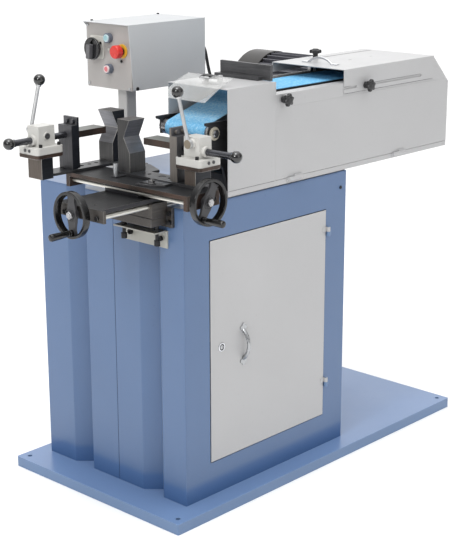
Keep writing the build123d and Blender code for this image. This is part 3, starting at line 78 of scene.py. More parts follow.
# ---------------------------------------------------------------------------
# Material helpers
# ---------------------------------------------------------------------------
class Mat:
    def __init__(self, name):
        self.m = bpy.data.materials.new(name)
        self.m.use_nodes = True
        self.t = self.m.node_tree
        self.t.nodes.clear()
        self.out = self.new("ShaderNodeOutputMaterial")
        self.b = self.new("ShaderNodeBsdfPrincipled")
        self.link(self.b.outputs[0], self.out.inputs[0])
        self.co = self.new("ShaderNodeTexCoord").outputs["Object"]

    def new(self, kind):
        return self.t.nodes.new(kind)

    def link(self, a, b):
        self.t.links.new(a, b)

    def put(self, **kw):
        for k, v in kw.items():
            s = self.b.inputs[k.replace("_", " ")]
            if isinstance(v, (int, float)):
                s.default_value = v
            elif isinstance(v, tuple):
                s.default_value = v if len(v) == 4 else (*v, 1.0) if s.type == "RGBA" else v
            else:
                self.link(v, s)
        return self

    def place(self, scale=(1, 1, 1), turn=(0, 0, 0), src=None):
        n = self.new("ShaderNodeMapping")
        self.link(src or self.co, n.inputs["Vector"])
        n.inputs["Scale"].default_value = scale
        n.inputs["Rotation"].default_value = [math.radians(t) for t in turn]
        return n.outputs[0]

    def noise(self, scale, detail=2.0, rough=0.5, vec=None, warp=0.0):
        n = self.new("ShaderNodeTexNoise")
        self.link(vec or self.co, n.inputs["Vector"])
        n.inputs["Scale"].default_value = scale
        n.inputs["Detail"].default_value = detail
        n.inputs["Roughness"].default_value = rough
        n.inputs["Distortion"].default_value = warp
        return n.outputs["Fac"]

    def cells(self, scale, vec=None, feature="F1", out="Distance"):
        n = self.new("ShaderNodeTexVoronoi")
        n.feature = feature
        self.link(vec or self.co, n.inputs["Vector"])
        n.inputs["Scale"].default_value = scale
        return n.outputs[out]

    def wave(self, scale, vec=None, kind="BANDS", axis="X", warp=0.0, detail=1.0):
        n = self.new("ShaderNodeTexWave")
        n.wave_type = kind
        if kind == "BANDS":
            n.bands_direction = axis
        else:
            n.rings_direction = axis
        self.link(vec or self.co, n.inputs["Vector"])
        n.inputs["Scale"].default_value = scale
        n.inputs["Distortion"].default_value = warp
        n.inputs["Detail"].default_value = detail
        return n.outputs["Fac"]

    def ramp(self, fac, stops, mode="LINEAR"):
        n = self.new("ShaderNodeValToRGB")
        n.color_ramp.interpolation = mode
        e = n.color_ramp.elements
        while len(e) < len(stops):
            e.new(0.5)
        for i, (p, c) in enumerate(stops):
            e[i].position = p
            e[i].color = (*c, 1.0) if isinstance(c, tuple) else (c, c, c, 1.0)
        self.link(fac, n.inputs[0])
        return n.outputs[0]

    def span(self, fac, a, b, c, d):
        n = self.new("ShaderNodeMapRange")
        self.link(fac, n.inputs[0])
        for i, v in enumerate((a, b, c, d)):
            n.inputs[1 + i].default_value = v
        return n.outputs[0]

    def calc(self, op, a, b):
        n = self.new("ShaderNodeMath")
        n.operation = op
        for i, v in enumerate((a, b)):
            if isinstance(v, (int, float)):
                n.inputs[i].default_value = v
            else:
                self.link(v, n.inputs[i])
        return n.outputs[0]

    def blend(self, fac, a, b, kind="MIX"):
        n = self.new("ShaderNodeMix")
        n.data_type = "RGBA"
        n.blend_type = kind
        for i, v in ((0, fac), (6, a), (7, b)):
            if isinstance(v, (int, float)):
                n.inputs[i].default_value = v
            elif isinstance(v, tuple):
                n.inputs[i].default_value = (*v, 1.0)
            else:
                self.link(v, n.inputs[i])
        return n.outputs[2]

    def bump(self, height, strength, dist, normal=None):
        n = self.new("ShaderNodeBump")
        n.inputs["Strength"].default_value = strength
        n.inputs["Distance"].default_value = dist
        self.link(height, n.inputs["Height"])
        if normal is not None:
            self.link(normal, n.inputs["Normal"])
        return n.outputs[0]

    def axis(self, which):
        n = self.new("ShaderNodeSeparateXYZ")
        self.link(self.co, n.inputs[0])
        return n.outputs["XYZ".index(which)]


def lin(r, g, b):
    """Screen colour 0-255 to linear."""
    out = []
    for c in (r, g, b):
        c /= 255
        out.append(c / 12.92 if c <= 0.04045 else ((c + 0.055) / 1.055) ** 2.4)
    return tuple(out)


def shade(c, k):
    return tuple(min(1.0, v * k) for v in c)


def paint(name, base, var=0.05, rough=(0.3, 0.44), peel=0.10, grime=0.10, painted_reflection=None, coat=0.18, spec=0.5):
    m = Mat(name)
    cloud = m.noise(2.6, 4, 0.55)
    tone = m.ramp(cloud, [(0.3, shade(base, 1 - var)), (0.7, shade(base, 1 + var))])
    # painted_reflection: a colour blended in below 74-90 mm height, a painted reflection of the base plate
    if painted_reflection is not None:
        tone = m.blend(m.span(m.axis("Z"), 0.074, 0.090, 0.85, 0.0), tone, painted_reflection)
    speck = m.ramp(m.noise(95, 5, 0.62), [(0.30, 0.0), (0.36, 1.0)])
    col = m.blend(grime, tone, m.blend(1.0, tone, speck, "MULTIPLY"))
    fine = m.noise(330, 2, 0.5)
    m.put(
        Base_Color=col,
        Roughness=m.span(m.noise(7, 5, 0.6), 0.25, 0.75, rough[0], rough[1]),
        Normal=m.bump(fine, peel, 0.0006),
    )
    m.put(Coat_Weight=coat, Coat_Roughness=0.16, Specular_IOR_Level=spec)
    return m.m


def dark_steel(name, lo, hi, rough=(0.32, 0.5), grain=(14, 300, 300), metal=0.55, tint=None):
    m = Mat(name)
    streak = m.noise(1.0, 4, 0.6, vec=m.place(scale=grain))
    cloud = m.noise(9, 5, 0.6)
    both = m.calc("ADD", m.calc("MULTIPLY", streak, 0.55), m.calc("MULTIPLY", cloud, 0.45))
    col = m.ramp(both, [(0.32, lo), (0.68, hi)])
    if tint is not None:
        col = m.blend(m.ramp(m.noise(16, 4, 0.6), [(0.42, 0.0), (0.62, 0.75)]), col, tint)
    m.put(
        Base_Color=col,
        Metallic=metal,
        Roughness=m.span(both, 0.3, 0.7, rough[0], rough[1]),
        Normal=m.bump(both, 0.12, 0.0006),
    )
    return m.m


def bright(name, base, rough=(0.08, 0.2), grain=(40, 40, 40), depth=0.05):
    m = Mat(name)
    scratch = m.noise(6, 5, 0.65, vec=m.place(scale=grain))
    m.put(
        Base_Color=m.ramp(scratch, [(0.3, shade(base, 0.86)), (0.7, base)]),
        Metallic=1.0,
        Roughness=m.span(scratch, 0.25, 0.75, rough[0], rough[1]),
        Normal=m.bump(scratch, depth, 0.0004),
    )
    return m.m


def plastic(name, base, rough=(0.16, 0.3), grain=420, depth=0.05, coat=0.25):
    m = Mat(name)
    n = m.noise(30, 4, 0.6)
    m.put(
        Base_Color=m.ramp(n, [(0.3, shade(base, 0.88)), (0.7, shade(base, 1.1))]),
        Roughness=m.span(m.noise(60, 4, 0.6), 0.3, 0.7, rough[0], rough[1]),
        Normal=m.bump(m.noise(grain, 2, 0.5), depth, 0.0005),
    )
    m.put(Coat_Weight=coat, Coat_Roughness=0.08)
    return m.m


def abrasive():
    m = Mat("belt_abrasive")
    grit = m.noise(520, 3, 0.7)
    clump = m.noise(150, 3, 0.6)
    both = m.calc("ADD", m.calc("MULTIPLY", grit, 0.6), m.calc("MULTIPLY", clump, 0.4))
    col = m.ramp(
        both,
        [
            (0.34, lin(56, 136, 190)),
            (0.47, lin(96, 168, 212)),
            (0.56, lin(130, 190, 226)),
            (0.68, lin(206, 228, 240)),
        ],
    )
    wear = m.noise(5, 3, 0.5)
    col = m.blend(m.span(wear, 0.35, 0.75, 0.0, 0.25), col, lin(104, 174, 214))
    # paler band behind the contact roller, standing in for light under the hood
    pale = m.ramp(
        both,
        [
            (0.34, lin(100, 182, 234)),
            (0.47, lin(150, 212, 248)),
            (0.56, lin(186, 228, 252)),
            (0.68, lin(232, 245, 254)),
        ],
    )
    band = m.calc(
        "MULTIPLY",
        m.span(m.axis("X"), -0.285, -0.215, 0.9, 0.0),
        m.span(m.axis("X"), -0.396, -0.362, 0.2, 1.0),
    )
    col = m.blend(band, col, pale)
    m.put(
        Base_Color=col,
        Roughness=m.span(grit, 0.3, 0.7, 0.62, 0.9),
        Normal=m.bump(both, 0.55, 0.0012),
    )
    m.put(Specular_IOR_Level=0.25)
    return m.m


def clear_sheet():
    m = Mat("shield_clear")
    smear = m.noise(18, 5, 0.62, warp=0.6)
    m.put(
        Base_Color=m.ramp(smear, [(0.3, lin(206, 207, 206)), (0.7, lin(222, 222, 220))]),
        Roughness=m.span(smear, 0.3, 0.75, 0.02, 0.14),
        Normal=m.bump(m.noise(5, 2, 0.5), 0.04, 0.002),
    )
    m.put(Alpha=0.24, Specular_IOR_Level=0.6)
    return m.m


def rubber(name, base, rough=(0.5, 0.7)):
    m = Mat(name)
    n = m.noise(140, 4, 0.6)
    m.put(
        Base_Color=m.ramp(n, [(0.3, shade(base, 0.75)), (0.7, shade(base, 1.3))]),
        Roughness=m.span(n, 0.3, 0.7, rough[0], rough[1]),
        Normal=m.bump(n, 0.15, 0.0006),
    )
    return m.m


BLUE = paint("paint_blue", lin(98, 125, 162), var=0.04, rough=(0.30, 0.42), peel=0.10)
# Darker blue on the cabinet's lowest 90 mm: a painted reflection of the base plate.
CABINET = paint("paint_cabinet", lin(84, 110, 148), var=0.04, rough=(0.30, 0.42), peel=0.10, painted_reflection=lin(64, 98, 146))
# Lighter blue for the base plate's top faces: painted light on the lit top.
BASE_LIT_TOP = paint("paint_base_lit_top", lin(108, 134, 174), var=0.03, rough=(0.26, 0.38), peel=0.10)
SWIVEL_TOP = dark_steel("steel_swivel", lin(46, 47, 50), lin(84, 85, 88), rough=(0.3, 0.44), grain=(14, 300, 300), metal=0.55)
# Light blue on the base plate's rounded edges: a painted highlight.
BASE_EDGE_HIGHLIGHT = paint("paint_base_edge_highlight", lin(140, 166, 206), var=0.03, rough=(0.26, 0.38), peel=0.10)
GREY = paint("paint_grey", lin(178, 178, 179), var=0.022, rough=(0.34, 0.46), peel=0.08, grime=0.05)
BOX_GREY = paint("paint_box", lin(190, 192, 194), var=0.025, rough=(0.5, 0.62), peel=0.08, grime=0.06, coat=0.0, spec=0.18)
POST_GREY = paint("paint_post", lin(190, 188, 185), var=0.04, rough=(0.36, 0.48), peel=0.10, grime=0.08)
PANEL = paint("paint_panel", lin(166, 162, 159), var=0.03, rough=(0.36, 0.5), peel=0.10, grime=0.06)
CREAM = paint("paint_cream", lin(168, 167, 160), var=0.04, rough=(0.4, 0.5), peel=0.10)
CAST = paint("paint_casting", lin(192, 191, 187), var=0.05, rough=(0.34, 0.5), peel=0.35, grime=0.12)
BLACK_STEEL = dark_steel("steel_black", lin(32, 32, 35), lin(62, 62, 66))
TOP_STEEL = dark_steel("steel_table", lin(22, 23, 25), lin(40, 41, 43), rough=(0.42, 0.56), metal=0.35)
GROUND_STEEL = dark_steel("steel_ground", lin(58, 58, 60), lin(104, 104, 106), rough=(0.28, 0.42), metal=0.7)
GRAPHITE = dark_steel("steel_graphite", lin(62, 62, 64), lin(98, 98, 100), rough=(0.3, 0.46), grain=(300, 14, 300), metal=0.55)
VEE_FRONT = dark_steel("vee_front", lin(62, 62, 64), lin(96, 95, 94), grain=(300, 300, 14), metal=0.4)
VEE_FACE = dark_steel("vee_face", lin(108, 108, 112), lin(146, 146, 150), grain=(14, 14, 300), metal=0.7, rough=(0.26, 0.4))
NAVY_STEEL = dark_steel("steel_navy", lin(27, 29, 34), lin(48, 51, 58), metal=0.4)
POST_FRONT = dark_steel("post_front", lin(74, 66, 60), lin(114, 104, 96), grain=(300, 300, 14), metal=0.4)
COLUMN = dark_steel("jaw_column", lin(70, 70, 73), lin(102, 102, 105), grain=(300, 300, 14), metal=0.45)
PUSHER = dark_steel("jaw_pusher", lin(92, 93, 90), lin(126, 127, 122), grain=(14, 300, 300), metal=0.4)
BROWN_STEEL = dark_steel("steel_brown", lin(40, 34, 31), lin(74, 62, 55), tint=lin(80, 62, 54), metal=0.4)
END_STEEL = dark_steel("steel_end", lin(54, 51, 49), lin(86, 82, 79), grain=(300, 14, 300), metal=0.4)
GUIDE_STEEL = dark_steel("steel_guide", lin(54, 51, 49), lin(86, 82, 78), grain=(14, 300, 300), metal=0.4)
JAW_SIDE = dark_steel("jaw_side", lin(98, 94, 90), lin(128, 122, 116), grain=(300, 300, 14), metal=0.4)
ARM_STEEL = dark_steel("arm_steel", lin(44, 44, 46), lin(70, 70, 73), metal=0.45)
# Bright steel on the bevels of the tables and vise blocks: edge wear together with a painted highlight along the
# edges.
EDGE = bright("edge_worn_highlight", lin(176, 174, 170), rough=(0.26, 0.4), grain=(80, 80, 80), depth=0.06)
CHROME = bright("plate_chrome", lin(222, 224, 228))
HANDLE = bright("handle_plated", lin(176, 178, 180), rough=(0.22, 0.34), grain=(20, 20, 20), depth=0.03)
LEVER = bright("lever_satin", lin(206, 207, 208), rough=(0.34, 0.46), grain=(9, 9, 9), depth=0.012)
GUNMETAL = bright("rod_gunmetal", lin(104, 105, 110), rough=(0.18, 0.3), grain=(10, 10, 60), depth=0.02)
ROD_PALE = bright("rod_pale", lin(222, 220, 212), rough=(0.34, 0.5), grain=(12, 60, 60), depth=0.03)
SATIN = bright("steel_satin", lin(186, 186, 188), rough=(0.2, 0.34), grain=(12, 90, 90), depth=0.05)
ZINC = bright("plate_zinc", lin(190, 192, 194), rough=(0.24, 0.4), grain=(60, 60, 60), depth=0.08)
BRONZE = bright("hub_disc", lin(150, 140, 125), rough=(0.3, 0.45))
RING = paint("ring_cream", lin(184, 178, 162), var=0.05, rough=(0.35, 0.5), peel=0.1)
ALLOY = bright("alloy_turned", lin(178, 180, 182), rough=(0.28, 0.42), grain=(8, 200, 8))
GLOSS_BLACK = plastic("moulding_black", lin(26, 26, 28), rough=(0.14, 0.28))
KNOB_BLACK = plastic("knob_black", lin(33, 33, 35), rough=(0.3, 0.45), grain=300, depth=0.08, coat=0.1)
BALL_BLACK = plastic("ball_black", lin(12, 12, 13), rough=(0.05, 0.11), grain=160, depth=0.012, coat=0.8)
RIM_BLACK = plastic("rim_black", lin(14, 14, 15), rough=(0.16, 0.26), grain=240, depth=0.02, coat=0.1)
WEB_GREY = paint("web_grey", lin(50, 50, 53), var=0.08, rough=(0.36, 0.5), peel=0.25, grime=0.2)
SCREW_BLACK = dark_steel("screw_black", lin(22, 22, 24), lin(48, 48, 50), grain=(90, 90, 90), rough=(0.3, 0.45))
RED = plastic("moulding_red", lin(206, 44, 34))
YELLOW = plastic("moulding_yellow", lin(232, 176, 52), rough=(0.3, 0.45))
PALE_GREEN = plastic("moulding_green", lin(146, 184, 190))
CYAN_RING = plastic("moulding_cyan", lin(184, 206, 210))
PALE_PINK = plastic("moulding_pink", lin(222, 204, 204))
RED_RING = plastic("moulding_red_ring", lin(208, 112, 118))
COLLAR = plastic("moulding_collar", lin(100, 108, 122), rough=(0.3, 0.45))
LEVER_GREY = plastic("moulding_grey", lin(92, 92, 95), rough=(0.25, 0.4))
RECESS = rubber("lock_recess", lin(40, 40, 42))
PLATE_LIGHT = plastic("moulding_light", lin(208, 206, 199), rough=(0.35, 0.5))
FIN_GREY = paint("paint_motor", lin(88, 88, 95), var=0.06, rough=(0.4, 0.55), peel=0.2)
COWL_GREY = paint("paint_cowl", lin(54, 52, 51), var=0.05, rough=(0.38, 0.5), peel=0.15)
JACKET = rubber("lead_jacket", lin(34, 34, 36), rough=(0.36, 0.5))
BELT = abrasive()
CLEAR = clear_sheet()
SHEET_EDGE = plastic("shield_edge", lin(128, 130, 132), rough=(0.2, 0.35), coat=0.1)


# ---------------------------------------------------------------------------
# Geometry helpers
# ---------------------------------------------------------------------------
def join_up(obj, body, node=None):
    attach(obj, body)
    if node:
        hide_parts(*([node] if isinstance(node, str) else node))
    return obj


def clean_copy(node):
    """The node's mesh with its seams closed and its flat faces joined."""
    bm = bmesh.new()
    bm.from_mesh(nodes[node].data)
    bmesh.ops.remove_doubles(bm, verts=bm.verts, dist=2e-6)
    bmesh.ops.dissolve_limit(
        bm, angle_limit=math.radians(0.4), verts=list(bm.verts), edges=list(bm.edges), delimit=set()
    )
    return bm


def rounded(node, width=0.0008, seg=2, mats=None, pick=None, angle=38, clamp=True, edge=None, move=None):
    """A node with its edges rounded. pick(centre, normal) gives the material's place in mats."""
    bm = clean_copy(node)
    if move is not None:
        for v in bm.verts:
            v.co += Vector(move(v.co))
    mats = list(mats or [GREY])
    if pick is not None:
        for f in bm.faces:
            f.material_index = pick(f.calc_center_median(), f.normal)
    for f in bm.faces:
        f.smooth = True
    me = bpy.data.meshes.new(node + "_fine")
    bm.to_mesh(me)
    bm.free()
    for mat in mats + ([edge] if edge else []):
        me.materials.append(mat)
    obj = bpy.data.objects.new(node + "_fine", me)
    scene.collection.objects.link(obj)
    if width:
        b = obj.modifiers.new("round", "BEVEL")
        b.width = width
        b.segments = seg
        b.limit_method = "ANGLE"
        b.angle_limit = math.radians(angle)
        b.use_clamp_overlap = clamp
        b.miter_outer = "MITER_ARC"
        if edge:
            b.material = len(mats)
    w = obj.modifiers.new("even", "WEIGHTED_NORMAL")
    w.keep_sharp = True
    me.set_sharp_from_angle(angle=math.radians(42)) if not width else None
    join_up(obj, node_body[node], node)
    return obj


def near(c, p, r):
    """Whether a point lies within r mm of p, both in mm but the point in metres."""
    return (Vector(c) * 1000 - Vector(p)).length < r


class Shape:
    """Closed shells with their own materials, drawn in millimetres about a local Z axis."""

    def __init__(self):
        self.v, self.f, self.mats = [], [], []

    def slot(self, mat):
        if mat not in self.mats:
            self.mats.append(mat)
        return self.mats.index(mat)

    def rings(self, rows, mat, cap=True, closed=False):
        """Skin over rows of points, each row a closed ring of equal count."""
        k, n, base = self.slot(mat), len(rows[0]), len(self.v)
        for row in rows:
            self.v += row
        count = len(rows)
        for i in range(count if closed else count - 1):
            a, b = base + i * n, base + ((i + 1) % count) * n
            for j in range(n):
                h = (j + 1) % n
                self.f.append(((a + j, a + h, b + h, b + j), k))
        if cap and not closed:
            self.f.append((tuple(base + j for j in reversed(range(n))), k))
            self.f.append((tuple(base + (count - 1) * n + j for j in range(n)), k))

    def lathe(self, profile, mat, at=(0, 0), seg=48, closed=False):
        """Profile of (radius, height) turned about the axis through at."""
        rows = []
        for r, z in profile:
            rows.append(
                [
                    (
                        at[0] + r * math.cos(2 * math.pi * j / seg),
                        at[1] + r * math.sin(2 * math.pi * j / seg),
                        z,
                    )
                    for j in range(seg)
                ]
            )
        self.rings(rows, mat, closed=closed)

    def prism(self, outline, z0, z1, c, mat):
        """Outline in X and Y from z0 to z1 with its end edges broken by c."""
        reach = max(math.hypot(x, y) for x, y in outline)
        k = 1 - c / reach
        rows = [
            [(x * q, y * q, z) for x, y in outline] for z, q in ((z0, k), (z0 + c, 1), (z1 - c, 1), (z1, k))
        ]
        self.rings(rows, mat)

    def finish(self, name, place, body, node, sharp=35):
        me = bpy.data.meshes.new(name)
        me.from_pydata([place @ (Vector(p) / 1000) for p in self.v], [], [f for f, k in self.f])
        for mat in self.mats:
            me.materials.append(mat)
        for poly, (f, k) in zip(me.polygons, self.f):
            poly.material_index = k
            poly.use_smooth = True
        bm = bmesh.new()
        bm.from_mesh(me)
        bmesh.ops.recalc_face_normals(bm, faces=bm.faces)
        bm.to_mesh(me)
        bm.free()
        me.set_sharp_from_angle(angle=math.radians(sharp))
        obj = bpy.data.objects.new(name, me)
        scene.collection.objects.link(obj)
        return join_up(obj, body, node)


def stand(x, y, z, turn):
    """Place in metres from a point in millimetres, with turns as (axis, degrees) pairs."""
    m = Matrix.Translation((x / 1000, y / 1000, z / 1000))
    for axis, deg in turn:
        m = m @ Matrix.Rotation(math.radians(deg), 4, axis)
    return m


# ---------------------------------------------------------------------------
# The motor lead
# ---------------------------------------------------------------------------
LEAD = [
    (-20.0, 218.0, 1260.0),
    (22.0, 218.0, 1260.0),
    (56.0, 218.0, 1232.0),
    (66.0, 217.0, 1182.0),
    (74.0, 212.0, 1138.0),
    (80.0, 194.0, 1102.0),
    (90.0, 160.0, 1072.0),
    (116.0, 122.0, 1056.0),
    (157.0, 100.0, 1062.0),
    (199.0, 100.0, 1062.0),
]
curve = bpy.data.curves.new("motor_lead_line", "CURVE")
curve.dimensions = "3D"
spline = curve.splines.new("NURBS")
spline.points.add(len(LEAD) - 1)
for point, p in zip(spline.points, LEAD):
    point.co = (p[0] / 1000, p[1] / 1000, p[2] / 1000, 1.0)
spline.order_u = 3
spline.use_endpoint_u = True
spline.resolution_u = 10
curve.bevel_depth = 0.005
curve.bevel_resolution = 5
curve.use_fill_caps = True
curve.materials.append(JACKET)
lead = bpy.data.objects.new("motor_lead_fine", curve)
scene.collection.objects.link(lead)
join_up(lead, "frame", "motor_lead")

# ---------------------------------------------------------------------------
# Cabinet and head
# ---------------------------------------------------------------------------
# Base plate: painted lit blue on its top faces, and a painted highlight blue on its rounded edges.
rounded("base_plate", 0.0032, 3, [BLUE, BASE_LIT_TOP], lambda c, n: 1 if n.z > 0.5 and c.z > 0.03 else 0, edge=BASE_EDGE_HIGHLIGHT)
for n in ("cabinet_front", "cabinet_right_panel", "cabinet_shell"):
    rounded(n, 0.0010, 2, [CABINET])
rounded("cabinet_door", 0.0008, 2, [GREY])
rounded("door_handle", 0.0006, 2, [HANDLE])
for n in ("head_tray", "head_main_plate", "rear_hood"):
    rounded(n, 0.0007, 2, [GREY])
rounded("front_cover", 0, 1, [GREY])
rounded(
    "side_door",
    0,
    1,
    [GREY],
    move=lambda v: (0, 0, 0.0002) if abs(v.z - 1.1196) < 1e-5 else (0, 0, 0),
)
rounded("sliding_cover", 0.0007, 2, [GREY])
rounded("cover_handle", 0.0006, 2, [CHROME])


def door_lock():
    """Ring of the lock with its sunk barrel, key slot and the latch bar inside."""
    s = Shape()
    s.lathe(
        [(9.0, 1.6), (13.0, 1.6), (13.0, 3.5), (12.4, 4.2), (11.6, 4.5), (9.9, 4.5), (9.2, 4.1), (9.0, 3.4)],
        CHROME,
        seg=64,
        closed=True,
    )
    s.lathe([(8.9, -14), (8.9, 3.0), (8.5, 3.4), (7.0, 3.4), (6.6, 3.2)], RECESS, seg=48)
    s.lathe([(5.6, 3.0), (6.2, 3.3), (6.2, 3.9), (5.8, 4.2), (4.6, 4.3)], ZINC, seg=40)
    slot = [(-0.9, -4), (0.9, -4), (0.9, 4), (-0.9, 4)]
    s.prism(slot, 4.25, 4.45, 0.05, SCREW_BLACK)
    bar = [(-8, 10), (-8, -62), (8, -62), (8, 10)]
    s.prism(bar, -12, -9, 0.5, ZINC)
    s.finish("door_lock_fine", stand(-412, -286, 473, [("X", 90)]), "door_lock", "door_lock")


door_lock()


def star_knob(node, place, neck, neck_r, disc, stud):
    """Clamping knob with six soft lobes on a round neck."""
    s = Shape()
    s.lathe([(2.4, -stud), (3.0, -stud + 0.6), (3.0, 0.2)], ZINC, seg=24)
    s.lathe(
        [(neck_r - 0.6, 0), (neck_r, 0.6), (neck_r - 0.7, neck * 0.5), (neck_r, neck - 0.4), (neck_r, neck + 1)],
        KNOB_BLACK,
        seg=40,
    )

    def star(k, grow=0.0):
        row = []
        for j in range(96):
            a = 2 * math.pi * j / 96
            r = (16.6 + 2.35 * math.cos(6 * (a - math.radians(15)))) * k + grow
            row.append((r * math.cos(a), r * math.sin(a)))
        return row

    levels = [
        (0.84, neck),
        (0.93, neck + 0.5),
        (0.975, neck + 1.3),
        (1.0, neck + 2.6),
        (1.0, neck + disc - 3.4),
        (0.975, neck + disc - 1.7),
        (0.92, neck + disc - 0.6),
        (0.82, neck + disc),
    ]
    s.rings([[(x, y, z) for x, y in star(k)] for k, z in levels], KNOB_BLACK)
    top = neck + disc
    s.lathe([(11.0, top - 1), (11.0, top + 0.2), (10.6, top + 1.3), (9.2, top + 2.4), (7.6, top + 2.95), (3, top + 2.6)], KNOB_BLACK, seg=48)
    s.finish(node + "_fine", place, node, node)


star_knob("front_knob", stand(-158, -291.1, 1144, [("X", 90)]), 14, 10.5, 12, 11.5)
star_knob("rear_knob", stand(221, -291.1, 1144, [("X", 90)]), 14, 10.5, 12, 11.5)
star_knob("top_knob", stand(277, -50, 1199.6, []), 15, 8.5, 11, 17)

# ---------------------------------------------------------------------------
# Belt, roller, motor
# ---------------------------------------------------------------------------
rounded("abrasive_belt", 0, 1, [BELT])
rounded(
    "platen",
    0.0008,
    2,
    [GROUND_STEEL, SATIN],
    lambda c, n: 1 if c.z > 1.1603 and c.x > 0.245 and c.y > -0.06 else 0,
)
rounded(
    "roller_arms",
    0.0010,
    2,
    [ARM_STEEL, CHROME, RING],
    lambda c, n: 2 if -0.2493 < c.y < -0.2461 and c.x > -0.3 - 0.12 else 1 if (c.y < -0.2461 or c.y > -0.0499) else 0,
    edge=GROUND_STEEL,
)
rounded(
    "contact_roller",
    0.0010,
    2,
    [SATIN, CREAM],
    lambda c, n: 1 if abs(n.y) > 0.9 else 0,
)
rounded("drive_wheel", 0.0012, 2, [ALLOY])
rounded("motor_rotor", 0.0008, 2, [SATIN])
rounded("motor_body", 0.0005, 1, [FIN_GREY])
rounded("motor_cowl", 0.0006, 1, [COWL_GREY])

# ---------------------------------------------------------------------------
# Control box
# ---------------------------------------------------------------------------
rounded("control_post", 0.0008, 2, [POST_GREY])
rounded("control_panel", 0.0008, 2, [PANEL])
rounded("control_cover", 0.0008, 2, [BOX_GREY])


def fitting(c, n):
    y, z, x = c.y * 1000, c.z * 1000, c.x * 1000
    if x < -330:
        if y > 238.5:
            return 0
        if y < 192:
            return 2
        return 1
    return 3


rounded("control_fittings", 0.0008, 2, [PLATE_LIGHT, COLLAR, YELLOW, SCREW_BLACK], fitting)
rounded("main_switch", 0.0015, 3, [GLOSS_BLACK, LEVER_GREY], lambda c, n: 1 if c.x < -0.3683 else 0)
rounded("estop_button", 0.0012, 3, [RED, SCREW_BLACK], lambda c, n: 1 if c.x > -0.3565 else 0)


def button(node, y, z, reach, cap, ring):
    """Push button: coloured cap, raised ring of a second colour and dark shank."""
    s = Shape()
    s.lathe([(10.2, -12), (10.9, -11.4), (10.9, reach - 6)], SCREW_BLACK, seg=40)
    s.lathe([(10.9, reach - 6.4), (11.0, reach - 6), (11.0, reach - 1.2), (10.6, reach - 0.4), (9.8, reach), (8.4, reach), (8.0, reach - 0.5)], ring, seg=56)
    s.lathe([(8.1, reach - 1.6), (8.1, reach - 0.9), (7.6, reach - 0.5), (4.0, reach - 0.2), (1.0, reach - 0.15)], cap, seg=48)
    s.finish(node + "_fine", stand(-341, y, z, [("Y", -90)]), node, node)


button("start_button", 223, 1293, 17, PALE_GREEN, CYAN_RING)
button("stop_button", 223, 1203, 18.5, RED_RING, PALE_PINK)

# ---------------------------------------------------------------------------
# Cross slide
# ---------------------------------------------------------------------------
rounded("slide_base", 0.0012, 2, [GUIDE_STEEL, BLACK_STEEL], lambda c, n: 1 if n.z > 0.5 else 0, edge=GROUND_STEEL)
rounded("slide_bracket", 0.0008, 2, [CREAM])
rounded("x_guide_block", 0.0012, 2, [GUIDE_STEEL], edge=GROUND_STEEL)
rounded(
    "x_table",
    0.0010,
    2,
    [TOP_STEEL, END_STEEL, SCREW_BLACK, BLACK_STEEL],
    lambda c, n: 2 if c.x < -0.8031 else 3 if abs(n.y) > 0.5 and c.x > -0.79 else 1 if abs(n.z) < 0.5 else 0,
    edge=EDGE,
)
rounded("x_rods", 0.0010, 2, [ROD_PALE, SCREW_BLACK], lambda c, n: 1 if abs(n.x) > 0.9 else 0)
rounded("y_guide_block", 0.0012, 2, [BLACK_STEEL], edge=GROUND_STEEL)
rounded(
    "y_table",
    0.0010,
    2,
    [TOP_STEEL, BROWN_STEEL, GROUND_STEEL],
    lambda c, n: 2 if c.z > 0.9603 else 1 if abs(n.z) < 0.5 else 0,
    edge=EDGE,
)
rounded("y_rods", 0.0010, 2, [ROD_PALE, SCREW_BLACK], lambda c, n: 1 if abs(n.y) > 0.9 else 0)


def arc(cx, cz, r, a0, a1, n=5):
    return [
        (cx + r * math.cos(math.radians(a0 + (a1 - a0) * i / n)), cz + r * math.sin(math.radians(a0 + (a1 - a0) * i / n)))
        for i in range(n + 1)
    ]


def handwheel(node, place, length):
    """Rim, two-spoke web, hub, nut and the leadscrew with its thread."""
    s = Shape()
    rim = arc(60.6, 6.8, 1.8, -90, 0) + arc(60.6, 22.2, 1.8, 0, 90) + arc(55.6, 22.6, 1.4, 90, 180) + arc(53.8, 6.6, 1.6, 180, 270)
    s.lathe(rim, RIM_BLACK, seg=96, closed=True)
    half = [(17, 0), (16.6, 16), (14, 27), (12.5, 38), (13.5, 47), (16, 53)]
    web = half + [(-x, y) for x, y in reversed(half)] + [(-x, -y) for x, y in half[1:]] + [(x, -y) for x, y in reversed(half[1:])]
    s.prism(web, 8, 15, 1.2, WEB_GREY)
    s.lathe([(14.2, 0), (15, 0.8), (15, 14.4), (13.6, 16)], WEB_GREY)
    s.lathe([(17.2, 12), (18.4, 12.6), (18.4, 15.4), (17.6, 16.2), (16.2, 16.2), (15.6, 15.2)], WEB_GREY)
    s.lathe([(8.3, 5), (9, 5.7), (9, 22.8), (7.8, 24)], RIM_BLACK, at=(0, -48), seg=36)
    s.lathe([(11.6, 16.05), (12, 16.4), (12, 17.6), (11.6, 18)], GROUND_STEEL)
    hexagon = [(10.97 * math.cos(math.radians(60 * k + 30)), 10.97 * math.sin(math.radians(60 * k + 30))) for k in range(6)]
    s.prism(hexagon, 18, 25, 0.9, SATIN)
    s.lathe([(6.6, 24.5), (6.9, 25.2), (6.5, 25.5), (6.9, 25.8), (6.2, 26.5)], SATIN, seg=32)
    screw = [(5.8, -length), (6.9, -length + 1.2)]
    z = -length + 3
    while z < -29:
        screw += [(6.9, z), (6.1, z + 0.7), (6.1, z + 2.4), (6.9, z + 3.1)]
        z += 5
    screw += [(6.95, -24), (6.95, 1)]
    s.lathe(screw, SATIN, seg=28)
    s.finish(node + "_fine", place, node, node)


